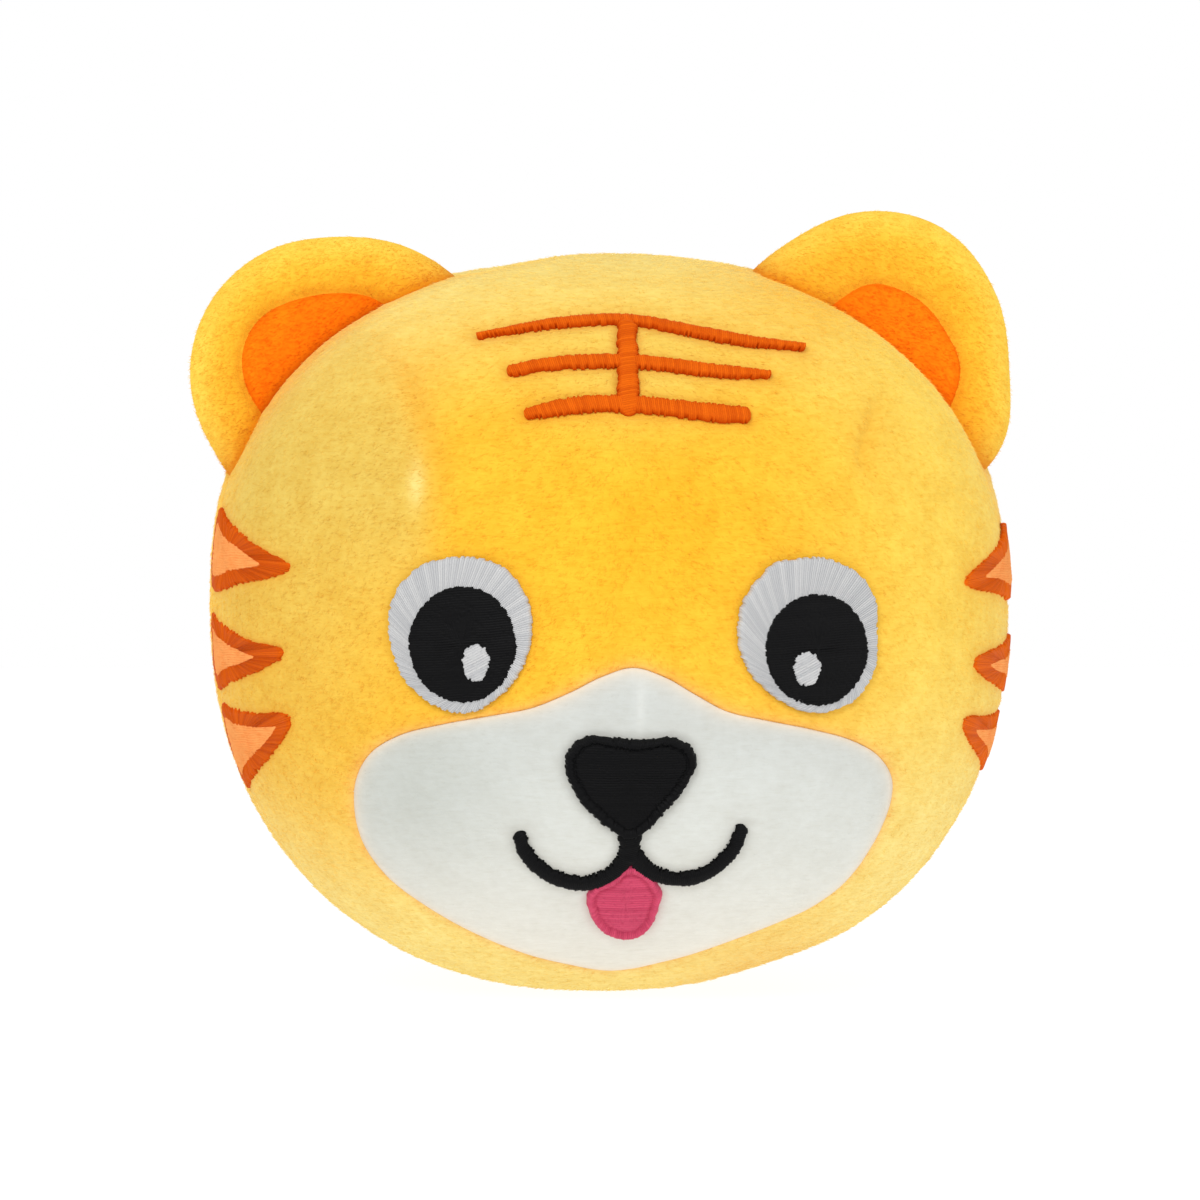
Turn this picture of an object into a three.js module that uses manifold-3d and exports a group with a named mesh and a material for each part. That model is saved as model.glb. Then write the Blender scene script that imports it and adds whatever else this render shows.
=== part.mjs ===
// Plush tiger head toy for a dog: a stuffed cover with a zip at the back, and a motor driven ball in its pocket.
// Millimetres, +Z up, the face looks towards -Y.
// Shapes are drawn round the middle of the ball pocket, then set on the floor.
import * as THREE from "three";
import Module from "manifold-3d";
import { mergeVertices } from "three/addons/utils/BufferGeometryUtils.js";

const wasm = await Module();
wasm.setup();

// Driving sizes of the stuffed head
const POCKET_HEIGHT = 57.6; // middle of the pocket above the floor
const SEAT_X = 1.25; // the ears stand out unevenly, so the head sits off the middle of the whole toy
const SEAT_Y = -0.4;
const HEAD_HALF_WIDTH = 63.4;
const FACE_DEPTH = 55;
const BACK_RADIUS = 58.4; // the back is round about the pocket, so that the zip lies on one arc
const CROWN_HEIGHT = 58.4;
const CHIN_DEPTH = 58.9; // cut flat at the floor
const LOWEST_RING = -79.5;
const PLAN_POWER = 2.15;
const SIDE_RISE = 3.4; // widest level of the sides above the pocket's middle
const FACE_RISE = 2.0;
const CROWN_POWER = { side: 2.35, face: 2.25, back: 2 };
const JAW_POWER = { side: 2.22, face: 2.2, back: 2 };
const MUZZLE_SWELL = 3.5;
const MUZZLE_SPREAD = 0.5;
const MUZZLE_AIM = new THREE.Vector3(0, -1, -0.36).normalize();
const HEAD_SECTORS = 28;
const HEAD_BANDS = 14;

// Cloth, seams and stitching
const SKIN = 2.0;
const SEAM = 0.3;
const SIDE_SEAM_Y = -6;
const STITCH_LIFT = 0.3;
const STITCH_THICK = 0.8;
const OUTLINE_STEPS = 22;

// Pocket and ball
const BALL_RADIUS = 42;
const SHELL_WALL = 2;
const LINING_INNER = BALL_RADIUS + 0.85;
const LINING_OUTER = LINING_INNER + 0.9;
const WADDING_INNER = LINING_OUTER + 0.3;
const BALL_SECTORS = 20;
const BALL_BANDS = 12;

// Zip, on arcs round the pocket's middle; angles rise from the back towards the crown
const ZIP_TOP = 57.5;
const ZIP_BOTTOM = -45.5;
const TAPE_TOP = 61.5;
const TAPE_BOTTOM = -49.5;
const TAPE_INNER = BACK_RADIUS - 3.5;
const TAPE_OUTER = BACK_RADIUS - 2.9;
const TAPE_EDGE = 1.1;
const TAPE_WIDTH = 8.4;
const OPENING_HALF = 4.6;
const THROAT_HALF = 9.4;
const TOOTH_PITCH = 4;
const TOOTH_HALF = 0.8;
const TOOTH_ROOT = 2.6;
const TOOTH_TIP = 0.8;
const TOOTH_INNER = BACK_RADIUS - 3.2;
const TOOTH_OUTER = BACK_RADIUS - 0.6;
const SLIDER_ANGLE = 53;
const SLIDER_HALF = 4.4;
const THROAT_FLOOR = 36;
const CLEAR_OUT = 2 * BACK_RADIUS; // past every layer of the cover

// Drive inside the ball
const GEAR_MODULE = 0.875;
const SMALL_TEETH = 8;
const LARGE_TEETH = 24;
const GEAR_CENTRES = 14;
const GEAR_PLAY = 0.22;
const COMPOUND_TURN = Math.PI / 6;
const MOTOR_TURN = (170 * Math.PI) / 180;
const FREE_FIT = 0.1;
const BOSS_RADIUS = 34.2;
const CELL_RADIUS = 5.25;
const CELL_LENGTH = 44.5;
const CELL_SPACING = 11.4;
const CELL_Y = 20.65;

const rad = (degrees) => (degrees * Math.PI) / 180;

// Materials
const finish = (color, roughness, metalness = 0) => new THREE.MeshStandardMaterial({ color, roughness, metalness });
const yellowPlush = finish(0xffc62e, 0.95);
const whitePlush = finish(0xe4e2da, 0.95);
const orangePlush = finish(0xff7a0a, 0.95);
const stripeThread = finish(0xe8501e, 0.6);
const whiteThread = finish(0xe4e6ea, 0.6);
const blackThread = finish(0x121212, 0.6);
const pinkThread = finish(0xe5517b, 0.6);
const fibre = finish(0xf2f2ee, 1);
const liningCloth = finish(0xd9a13a, 0.9);
const zipCloth = finish(0xf0b429, 0.8);
const zipMetal = finish(0xb8bcc2, 0.35, 0.9);
const shellPlastic = finish(0xf4f5f7, 0.45);
const gearPlastic = finish(0xf1ece0, 0.5);
const steel = finish(0xa9adb3, 0.3, 1);
const zincCast = finish(0x8d9196, 0.45, 1);
const cellWrap = finish(0x2f6f4f, 0.4);
const boardGreen = finish(0x1f6b3a, 0.5);
const darkPlastic = finish(0x26282c, 0.5);

// Solids from three.js geometry
function solid(geometry) {
  const bare = new THREE.BufferGeometry();
  const flat = geometry.index ? geometry.toNonIndexed() : geometry;
  bare.setAttribute("position", flat.getAttribute("position"));
  const merged = mergeVertices(bare, 1e-4);
  const vertProperties = new Float32Array(merged.getAttribute("position").array);
  const triVerts = new Uint32Array(merged.index.array);
  return new wasm.Manifold(new wasm.Mesh({ numProp: 3, vertProperties, triVerts }));
}

function geometryOf(made) {
  const out = made.getMesh();
  const geometry = new THREE.BufferGeometry();
  geometry.setAttribute("position", new THREE.BufferAttribute(new Float32Array(out.vertProperties), 3));
  geometry.setIndex(new THREE.BufferAttribute(new Uint32Array(out.triVerts), 1));
  geometry.computeVertexNormals();
  return geometry;
}

function box(x0, x1, y0, y1, z0, z1) {
  const geometry = new THREE.BoxGeometry(x1 - x0, y1 - y0, z1 - z0);
  return solid(geometry.translate((x0 + x1) / 2, (y0 + y1) / 2, (z0 + z1) / 2));
}

// A cylinder along Y between two levels
function rod(radius, y0, y1, x, z, sides = 10) {
  const geometry = new THREE.CylinderGeometry(radius, radius, y1 - y0, sides);
  return solid(geometry.translate(x, (y0 + y1) / 2, z));
}

// A cylinder along X between two places
function axle(radius, x0, x1, y, z, sides = 12) {
  const geometry = new THREE.CylinderGeometry(radius, radius, x1 - x0, sides).rotateZ(Math.PI / 2);
  return solid(geometry.translate((x0 + x1) / 2, y, z));
}

const sphere = (radius) => solid(new THREE.SphereGeometry(radius, BALL_SECTORS, BALL_BANDS));

// A flat shape drawn in X and Z, given depth from y1 down to y0
function slab(shape, y0, y1) {
  const geometry = new THREE.ExtrudeGeometry(shape, { depth: y1 - y0, bevelEnabled: false, curveSegments: 10 });
  return solid(geometry.rotateX(Math.PI / 2).translate(0, y1, 0));
}

const joined = (pieces) => pieces.reduce((sum, piece) => sum.add(piece));
const cutBy = (whole, tools) => tools.reduce((sum, tool) => sum.subtract(tool), whole);
const largest = (made) => made.decompose().reduce((best, piece) => (piece.volume() > best.volume() ? piece : best));

// Shape of the stuffed head: distance from the pocket's middle along a direction, at a depth under the surface
function headRadius(direction, inset) {
  const flat = Math.hypot(direction.x, direction.y);
  const floor = -POCKET_HEIGHT + inset;
  if (flat < 1e-7) return direction.z > 0 ? CROWN_HEIGHT - inset : -floor;
  const across = Math.abs(direction.x) / flat;
  const along = direction.y / flat;
  const face = along < 0;
  const side = across * across;
  const depth = face ? FACE_DEPTH : BACK_RADIUS;
  const sum = (across / HEAD_HALF_WIDTH) ** PLAN_POWER + (Math.abs(along) / depth) ** PLAN_POWER;
  const reach = sum ** (-1 / PLAN_POWER) - inset;
  const rise = side * SIDE_RISE + (1 - side) * (face ? FACE_RISE : 0);
  const crown = side * CROWN_POWER.side + (1 - side) * (face ? CROWN_POWER.face : CROWN_POWER.back);
  const jaw = side * JAW_POWER.side + (1 - side) * (face ? JAW_POWER.face : JAW_POWER.back);
  let low = 0;
  let high = 95;
  for (let step = 0; step < 32; step += 1) {
    const radius = (low + high) / 2;
    const height = radius * direction.z - rise;
    const limit = height > 0 ? CROWN_HEIGHT - rise - inset : CHIN_DEPTH + rise - inset;
    const power = height > 0 ? crown : jaw;
    const filled = ((radius * flat) / reach) ** power + (Math.abs(height) / limit) ** power;
    if (filled < 1) low = radius;
    else high = radius;
  }
  const turn = direction.angleTo(MUZZLE_AIM) / MUZZLE_SPREAD;
  const radius = low + MUZZLE_SWELL * Math.exp(-turn * turn);
  return radius * direction.z < floor ? floor / direction.z : radius;
}

// A closed surface round the pocket's middle whose distance is given for each direction
function roundBody(radiusOf, sectors, bands) {
  const points = [];
  const faces = [];
  for (let band = 1; band < bands; band += 1) {
    const level = band === 1 ? rad(LOWEST_RING) : Math.PI * (band / bands) - Math.PI / 2;
    for (let sector = 0; sector < sectors; sector += 1) {
      const turn = (2 * Math.PI * sector) / sectors;
      const flat = Math.cos(level);
      const way = new THREE.Vector3(Math.sin(turn) * flat, -Math.cos(turn) * flat, Math.sin(level));
      points.push(...way.multiplyScalar(radiusOf(way.clone())).toArray());
    }
  }
  const down = new THREE.Vector3(0, 0, -1);
  const up = new THREE.Vector3(0, 0, 1);
  points.push(...down.clone().multiplyScalar(radiusOf(down)).toArray());
  points.push(...up.clone().multiplyScalar(radiusOf(up)).toArray());
  const last = (bands - 1) * sectors;
  for (let sector = 0; sector < sectors; sector += 1) {
    const next = (sector + 1) % sectors;
    faces.push(last, next, sector);
    faces.push(last + 1, last - sectors + sector, last - sectors + next);
    for (let band = 0; band < bands - 2; band += 1) {
      const here = band * sectors;
      faces.push(here + sector, here + next, here + sectors + next);
      faces.push(here + sector, here + sectors + next, here + sectors + sector);
    }
  }
  const geometry = new THREE.BufferGeometry();
  geometry.setAttribute("position", new THREE.Float32BufferAttribute(points, 3));
  geometry.setIndex(faces);
  return solid(geometry);
}

const headSolid = (inset) => roundBody((way) => headRadius(way, inset), HEAD_SECTORS, HEAD_BANDS);

// The direction, from the pocket's middle, of a place on the face,
// given by its distance to the side and its height over the floor
function facing(x, height) {
  const z = height - POCKET_HEIGHT;
  let near = 0;
  let far = 80;
  for (let step = 0; step < 30; step += 1) {
    const y = (near + far) / 2;
    const place = new THREE.Vector3(x, -y, z);
    const distance = place.length();
    if (distance < headRadius(place.normalize(), 0)) near = y;
    else far = y;
  }
  return new THREE.Vector3(x, -near, z).normalize();
}

// The direction of a place on the side of the head, by its angles round and up
function bearing(round, rise) {
  const level = Math.cos(rad(rise));
  return new THREE.Vector3(Math.sin(rad(round)) * level, -Math.cos(rad(round)) * level, Math.sin(rad(rise)));
}

// A wedge from the pocket outwards over an outline of directions
function wedge(outline, chart) {
  const flat = outline.map(chart);
  const ordered = THREE.ShapeUtils.isClockWise(flat) ? [...outline].reverse() : outline;
  const caps = THREE.ShapeUtils.triangulateShape(ordered.map(chart), []);
  const count = ordered.length;
  const points = [];
  for (const reach of [130, 30]) {
    for (const way of ordered) points.push(...way.clone().multiplyScalar(reach).toArray());
  }
  const faces = [];
  for (const [a, b, c] of caps) faces.push(a, b, c, count + a, count + c, count + b);
  for (let i = 0; i < count; i += 1) {
    const j = (i + 1) % count;
    faces.push(i, count + i, count + j, i, count + j, j);
  }
  const geometry = new THREE.BufferGeometry();
  geometry.setAttribute("position", new THREE.Float32BufferAttribute(points, 3));
  geometry.setIndex(faces);
  return solid(geometry);
}

const faceChart = (way) => new THREE.Vector2(way.x, way.z);
const sideChart = (way) => new THREE.Vector2(Math.atan2(way.x, -way.y), Math.asin(way.z));
const faceWedge = (outline) => wedge(outline.map(([x, height]) => facing(x, height)), faceChart);
const sideWedge = (outline) => wedge(outline.map(([round, rise]) => bearing(round, rise)), sideChart);

// Outlines in the face's plane
function smoothLoop(corners, steps = OUTLINE_STEPS) {
  const knots = corners.map(([x, height]) => new THREE.Vector3(x, height, 0));
  const curve = new THREE.CatmullRomCurve3(knots, true, "centripetal");
  return curve.getPoints(steps).slice(0, -1).map((knot) => [knot.x, knot.y]);
}

function grown(outline, by) {
  const area = THREE.ShapeUtils.area(outline.map(([x, y]) => new THREE.Vector2(x, y)));
  const sign = area > 0 ? 1 : -1;
  return outline.map(([x, y], i) => {
    const [ax, ay] = outline[(i + outline.length - 1) % outline.length];
    const [bx, by2] = outline[(i + 1) % outline.length];
    const run = Math.hypot(bx - ax, by2 - ay);
    return [x + (sign * by * (by2 - ay)) / run, y - (sign * by * (bx - ax)) / run];
  });
}

function egg(x, height, half, rise, drop, steps = 18) {
  return Array.from({ length: steps }, (_, i) => {
    const turn = (2 * Math.PI * i) / steps;
    const tall = Math.sin(turn) > 0 ? rise : drop;
    return [x + half * Math.cos(turn), height + tall * Math.sin(turn)];
  });
}

// A band of stitching along a line, with a half width at each knot
function band(knots, halves, steps = 6) {
  const line = new THREE.CatmullRomCurve3(knots.map(([x, y]) => new THREE.Vector3(x, y, 0)), false, "centripetal");
  const left = [];
  const right = [];
  for (let i = 0; i <= steps; i += 1) {
    const share = i / steps;
    const at = line.getPoint(share);
    const along = line.getTangent(share);
    const place = share * (halves.length - 1);
    const index = Math.min(Math.floor(place), halves.length - 2);
    const half = THREE.MathUtils.lerp(halves[index], halves[index + 1], place - index);
    left.push([at.x - along.y * half, at.y + along.x * half]);
    right.push([at.x + along.y * half, at.y - along.x * half]);
  }
  return [...left, ...right.reverse()];
}

// Cloth shells cut from the head's shape
const outerHead = headSolid(0);
const stuffing = headSolid(SKIN + SEAM);
const skinShell = outerHead.subtract(headSolid(SKIN));
const clearHead = headSolid(-STITCH_LIFT);
const stitchShell = headSolid(-STITCH_LIFT - STITCH_THICK).subtract(clearHead);
const frontSpace = box(-90, 90, -90, SIDE_SEAM_Y - SEAM / 2, -90, 90);
const backSpace = box(-90, 90, SIDE_SEAM_Y + SEAM / 2, 90, -90, 90);
const stitched = (outline) => stitchShell.intersect(outline);

// Outline of the muzzle, clockwise from its top
const MUZZLE = [
  [-0.8, 51.2], [4, 49.7], [8.4, 47.2], [13, 44.8], [19.5, 43.3], [26.4, 41.9], [32.6, 40.2], [37, 37.8],
  [39.5, 34.4], [39.6, 30.6], [37.4, 24.3], [33.6, 18.5], [28.2, 14.4], [22.5, 11.8], [15.2, 9], [7, 6.2],
  [-1.5, 4.4], [-9.1, 5.7], [-16.2, 7.8], [-23.9, 11.1], [-30.5, 15], [-36.2, 19.4], [-40, 25], [-41.2, 30.6],
  [-40.8, 34.8], [-38.8, 38.4], [-34.8, 41], [-28.8, 42.7], [-21.4, 44.1], [-15.5, 45.3], [-10, 47.6],
  [-5.4, 49.9],
];
const muzzleOutline = smoothLoop(MUZZLE, 32);

function facePanel() {
  return largest(skinShell.intersect(frontSpace).subtract(faceWedge(grown(muzzleOutline, SEAM / 2))));
}

function muzzlePanel() {
  return largest(skinShell.intersect(faceWedge(grown(muzzleOutline, -SEAM / 2))));
}

// A bar bent on arcs round the pocket's middle, across the back
function arcBar(x0, x1, inner, outer, from, to, steps) {
  const points = [];
  const faces = [];
  for (let i = 0; i <= steps; i += 1) {
    const turn = rad(from + ((to - from) * i) / steps);
    for (const [x, r] of [[x0, inner], [x1, inner], [x1, outer], [x0, outer]]) {
      points.push(x, r * Math.cos(turn), r * Math.sin(turn));
    }
  }
  for (let i = 0; i < steps; i += 1) {
    for (let k = 0; k < 4; k += 1) {
      const a = i * 4 + k;
      const b = i * 4 + ((k + 1) % 4);
      faces.push(a, b, b + 4, a, b + 4, a + 4);
    }
  }
  const end = steps * 4;
  faces.push(0, 2, 1, 0, 3, 2, end, end + 1, end + 2, end, end + 2, end + 3);
  const geometry = new THREE.BufferGeometry();
  geometry.setAttribute("position", new THREE.Float32BufferAttribute(points, 3));
  geometry.setIndex(faces);
  return solid(geometry);
}

const throat = arcBar(-THROAT_HALF, THROAT_HALF, THROAT_FLOOR, CLEAR_OUT, TAPE_BOTTOM - 1, TAPE_TOP + 1, 6);
const opening = arcBar(-OPENING_HALF, OPENING_HALF, THROAT_FLOOR, CLEAR_OUT, ZIP_BOTTOM - 3.2, ZIP_TOP + 3.4, 8);

function backPanel(side) {
  const half = side < 0 ? box(-90, -SEAM / 2, -90, 90, -90, 90) : box(SEAM / 2, 90, -90, 90, -90, 90);
  return largest(cutBy(skinShell.intersect(backSpace).intersect(half), [opening]));
}

// Ears: flat cushions, the rim a little forward of the middle; reaches are their radii every 30 degrees
const EARS = {
  left: {
    x: -43,
    height: 95.3,
    reaches: [24.5, 25, 23.8, 22.8, 23.6, 24, 23.8, 22.8, 23.4, 23.5, 24, 24.3],
    patch: [-44.4, 96, 13.7],
  },
  right: {
    x: 39.6,
    height: 97.9,
    reaches: [23.3, 24.2, 25.4, 24.6, 23.1, 23.6, 24.2, 24.2, 24.2, 24.2, 24.8, 25.4],
    patch: [40.5, 96.5, 14],
  },
};
const EAR_Y = -4;
const EAR_HALF_THICK = 5.6;
const EAR_LIP = 0.6;
const EAR_CUP = 3;
const EAR_SKIN = 1.5;
const EAR_SECTORS = 18;
const EAR_RINGS = 3;
const EAR_PHASE = 0.11;

const earPuff = (share) => EAR_HALF_THICK * Math.sqrt(Math.max(0, 1 - share ** 3));

// An ear's radius at a turn, smooth between its given radii
function reachAt(reaches, turn) {
  const place = turn / rad(30);
  const from = Math.floor(place);
  const t = place - from;
  const [a, b, c, d] = [11, 12, 13, 14].map((step) => reaches[(from + step) % 12]);
  return b + (t / 2) * (c - a + t * (2 * a - 5 * b + 4 * c - d + t * (3 * (b - c) + d - a)));
}

// The space between two layers of an ear, each given by its offset from the ear's middle layer
function earLayer(ear, trim, frontOf, backOf) {
  const points = [];
  const faces = [];
  const put = (share, turn, offset) => {
    const reach = reachAt(ear.reaches, turn) - trim;
    const x = ear.x + reach * share * Math.cos(turn);
    const z = ear.height - POCKET_HEIGHT + reach * share * Math.sin(turn);
    points.push(x, EAR_Y - EAR_CUP * share * share + offset, z);
  };
  for (const offsetOf of [frontOf, backOf]) {
    put(0, 0, offsetOf(0));
    for (let ring = 1; ring <= EAR_RINGS; ring += 1) {
      const share = Math.sin((Math.PI / 2) * (ring / EAR_RINGS));
      for (let i = 0; i < EAR_SECTORS; i += 1) {
        put(share, EAR_PHASE + (2 * Math.PI * i) / EAR_SECTORS, offsetOf(share));
      }
    }
  }
  const half = 1 + EAR_RINGS * EAR_SECTORS;
  for (let i = 0; i < EAR_SECTORS; i += 1) {
    const j = (i + 1) % EAR_SECTORS;
    faces.push(0, 1 + i, 1 + j, half, half + 1 + j, half + 1 + i);
    for (let ring = 0; ring < EAR_RINGS - 1; ring += 1) {
      const a = 1 + ring * EAR_SECTORS;
      const b = a + EAR_SECTORS;
      faces.push(a + i, b + i, b + j, a + i, b + j, a + j);
      faces.push(half + a + i, half + b + j, half + b + i, half + a + i, half + a + j, half + b + j);
    }
    const rim = 1 + (EAR_RINGS - 1) * EAR_SECTORS;
    faces.push(rim + i, half + rim + i, half + rim + j, rim + i, half + rim + j, rim + j);
  }
  const geometry = new THREE.BufferGeometry();
  geometry.setAttribute("position", new THREE.Float32BufferAttribute(points, 3));
  geometry.setIndex(faces);
  return solid(geometry);
}

const earDepth = (share, less) => Math.max(EAR_LIP / 2, EAR_LIP + earPuff(share) - less);
const earFront = (less) => (share) => -earDepth(share, less);
const earBack = (less) => (share) => earDepth(share, less);

function earPieces(ear) {
  const core = earLayer(ear, EAR_SKIN, earFront(EAR_SKIN * 0.99), earBack(EAR_SKIN * 0.99));
  const front = earLayer(ear, 0, earFront(0), () => -SEAM / 2);
  const back = earLayer(ear, 0, () => SEAM / 2, earBack(0));
  const inside = EAR_SKIN + SEAM;
  const filling = earLayer(ear, inside, earFront(inside), earBack(inside));
  const over = earLayer(ear, 0, earFront(-STITCH_LIFT - STITCH_THICK), () => 0);
  const under = earLayer(ear, 0, earFront(-STITCH_LIFT), () => SEAM);
  const [px, height, radius] = ear.patch;
  const disc = new THREE.CylinderGeometry(radius, radius, 40, 20);
  const cutter = solid(disc.translate(px, EAR_Y - 20, height - POCKET_HEIGHT));
  return {
    front: largest(front.subtract(core).subtract(clearHead)),
    back: largest(back.subtract(core).subtract(clearHead)),
    filling: largest(filling.subtract(clearHead)),
    inner: largest(over.subtract(under).intersect(cutter).subtract(clearHead)),
  };
}

// Embroidery of the face
const EYES = {
  left: {
    white: smoothLoop([
      [-15.7, 57.4], [-16.3, 61], [-18, 64.1], [-20.8, 66.4], [-24.2, 67.2], [-27.6, 67.2], [-31, 66.2],
      [-33.7, 64.1], [-35.5, 61], [-36, 57.4], [-35.5, 53.8], [-34.2, 50.3], [-31.6, 47.3], [-28, 45.1],
      [-24, 44.9], [-20.2, 47.2], [-17.6, 50.3], [-16.2, 53.8],
    ], 18),
    pupil: egg(-25.5, 54.6, 7.8, 8.1, 8),
    glint: egg(-23.3, 52, 2, 2.7, 2.7, 10),
  },
  right: {
    white: smoothLoop([
      [36.1, 57.5], [35.8, 60.9], [34.1, 64.1], [31, 66.2], [27.6, 67.2], [24, 67.1], [20.3, 66.3],
      [17.8, 63.9], [15.7, 60.9], [14.9, 57.5], [15.1, 53.8], [16.8, 50.3], [19.7, 47.5], [23.6, 45.3],
      [28.1, 44.7], [32.5, 46.3], [35.3, 49.9], [36.2, 53.8],
    ], 18),
    pupil: egg(26.6, 53.8, 8, 7.9, 7.9),
    glint: egg(24.8, 51.1, 2.1, 2.5, 2.5, 10),
  },
};
const STITCH_GAP = 0.3;

function eyePieces(eye) {
  return {
    white: stitched(faceWedge(eye.white)).subtract(faceWedge(grown(eye.pupil, STITCH_GAP))),
    pupil: stitched(faceWedge(eye.pupil)).subtract(faceWedge(grown(eye.glint, STITCH_GAP))),
    glint: stitched(faceWedge(eye.glint)),
  };
}

const NOSE = [
  [-1, 40.2], [2.1, 40.4], [5.3, 40.8], [7.8, 39.5], [8.4, 37.4], [6.9, 34], [3.9, 30], [0.9, 27.1],
  [-0.8, 26.4], [-2.5, 27], [-5.8, 29.2], [-9, 33], [-10.5, 36.8], [-10, 39.2], [-7.6, 41], [-4.4, 40.8],
];
const MOUTH_LEFT = [
  [-17.2, 27], [-15.9, 23.8], [-13, 20.9], [-9.9, 19.6], [-7.2, 19.4], [-4.4, 20.3], [-2, 22.2], [-0.7, 24.4],
];
const MOUTH_RIGHT = [
  [15.9, 28], [15.1, 25], [12.6, 21.9], [9, 20.1], [5.8, 20], [3.2, 20.9], [1.4, 22.2], [-0.5, 24.2],
];
const PHILTRUM = [[-0.8, 26], [-0.8, 24.6], [-0.7, 23.4]];
const TONGUE = [
  [-0.7, 22], [-3.2, 20], [-6.2, 18.7], [-6.9, 17.4], [-5.9, 14.9], [-3.8, 12.2], [-1.8, 11.1],
  [-0.5, 10.8], [1.2, 11.3], [2.9, 13.2], [4.2, 15.8], [4.8, 17.8], [4.2, 19.2], [1.8, 20.3],
];

function mouthTool(extra) {
  const half = 1 + extra;
  const arcs = [MOUTH_LEFT, MOUTH_RIGHT].map((knots) => faceWedge(band(knots, [half, half, half], 8)));
  return joined([...arcs, faceWedge(band(PHILTRUM, [1.4 + extra, 1.4 + extra, 1 + extra], 2))]);
}

const BROW_TOP = [
  [-22.8, 100.6], [-17.6, 101.5], [-12.5, 102.4], [-6.9, 103], [-1.7, 103.2],
  [2.8, 102.8], [7.3, 101.9], [13, 100.8], [18.7, 99.9], [26.9, 99.2],
];
const BROW_MIDDLE = [
  [-18.6, 95], [-12.9, 96.1], [-7.8, 96.5], [-2.8, 96.6], [2.3, 96.4], [6.8, 95.9], [12.5, 95.2], [21, 94.7],
];
const BROW_LOW = [
  [-16.3, 88.5], [-13.1, 89.1], [-8.1, 89.9], [-3.1, 90.1], [1.9, 89.9], [6.4, 89.4], [12.1, 88.8], [17.5, 88.4],
];
const BROW_POST = [[-0.3, 103.2], [-0.7, 95.7], [-0.9, 88.7]];

function foreheadStripes() {
  const bars = [
    band(BROW_TOP, [0.4, 0.75, 0.8, 0.85, 0.45]),
    band(BROW_MIDDLE, [0.7, 1.1, 1.1, 0.7]),
    band(BROW_LOW, [1.1, 1.3, 1.4, 1.2]),
    band(BROW_POST, [1.6, 1.65, 1.7], 2),
  ];
  return stitched(joined(bars.map(faceWedge)));
}

// Three pointed stripes on each cheek, by angles round and up
const CHEEK_STRIPES = {
  left: {
    top: [
      [82, 16.2], [76, 14.5], [69.5, 12.7], [62.1, 10.3], [56.6, 8.7], [55.5, 7.8], [56.9, 6.8], [68, 5.3],
      [82, 5],
    ],
    middle: [
      [82, 1.6], [77.4, 0.6], [72.8, -0.4], [65.5, -2.2], [60, -2.9], [57.3, -3.6], [57.5, -4.7], [60.5, -6],
      [65.5, -7.5], [74, -9], [82, -10],
    ],
    bottom: [
      [82, -12.3], [74, -12.3], [66, -12.8], [58.5, -12.8], [57.2, -13.6], [58.3, -15], [61.2, -17], [65.6, -19.2],
      [70.5, -21], [76, -22.8], [82, -24.6],
    ],
  },
  right: {
    top: [
      [82, 15.5], [76, 13.6], [72, 12.2], [67.3, 10.5], [58.4, 7.3], [56.6, 6.2], [57.6, 5], [62, 4.4],
      [82, 3.6],
    ],
    middle: [
      [82, 0.3], [76, -1.4], [70, -2.8], [64.5, -3.7], [60.6, -4.7], [60, -5.7], [61.2, -6.8], [65, -8.1],
      [70, -9.2], [76, -10], [82, -10.3],
    ],
    bottom: [
      [82, -12.5], [74, -12.6], [66, -12.9], [60.7, -13.1], [59.3, -13.9], [60, -15.2], [62.4, -16.9], [66, -18.7],
      [70, -20.2], [76, -22.2], [82, -24.2],
    ],
  },
};

function cheekStripe(outline, side) {
  const placed = outline.map(([round, rise]) => [side * round, rise]);
  return largest(stitched(sideWedge(placed)).intersect(frontSpace));
}

// Stuffing and pocket
function wadding(space, gap) {
  const whole = cutBy(stuffing, [roundPocket(WADDING_INNER), throat]);
  return largest(whole.intersect(space).subtract(gap));
}
const roundPocket = (radius) => sphere(radius);
const seamGap = box(-90, 90, SIDE_SEAM_Y - SEAM / 2, SIDE_SEAM_Y + SEAM / 2, -90, 90);

function pocketLining() {
  return largest(cutBy(sphere(LINING_OUTER), [sphere(LINING_INNER), throat]));
}

// Zip
function zipTape(side) {
  const span = side < 0 ? [-TAPE_WIDTH, -TAPE_EDGE] : [TAPE_EDGE, TAPE_WIDTH];
  const tape = arcBar(span[0], span[1], TAPE_INNER, TAPE_OUTER, TAPE_BOTTOM, TAPE_TOP, 12);
  const teeth = [];
  const start = ZIP_BOTTOM + (side < 0 ? 0.8 : 0.8 + TOOTH_PITCH / 2);
  const step = rad(1);
  for (let angle = start; angle < ZIP_TOP - 0.7; angle += TOOTH_PITCH) {
    const half = TOOTH_HALF / (TOOTH_OUTER * step);
    const ends = side < 0 ? [-TOOTH_ROOT, TOOTH_TIP] : [-TOOTH_TIP, TOOTH_ROOT];
    teeth.push(arcBar(ends[0], ends[1], TOOTH_INNER, TOOTH_OUTER, angle - half, angle + half, 1));
  }
  return joined([tape, ...teeth]);
}

const onArc = (radius, angle) => [radius * Math.cos(rad(angle)), radius * Math.sin(rad(angle))];

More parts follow.
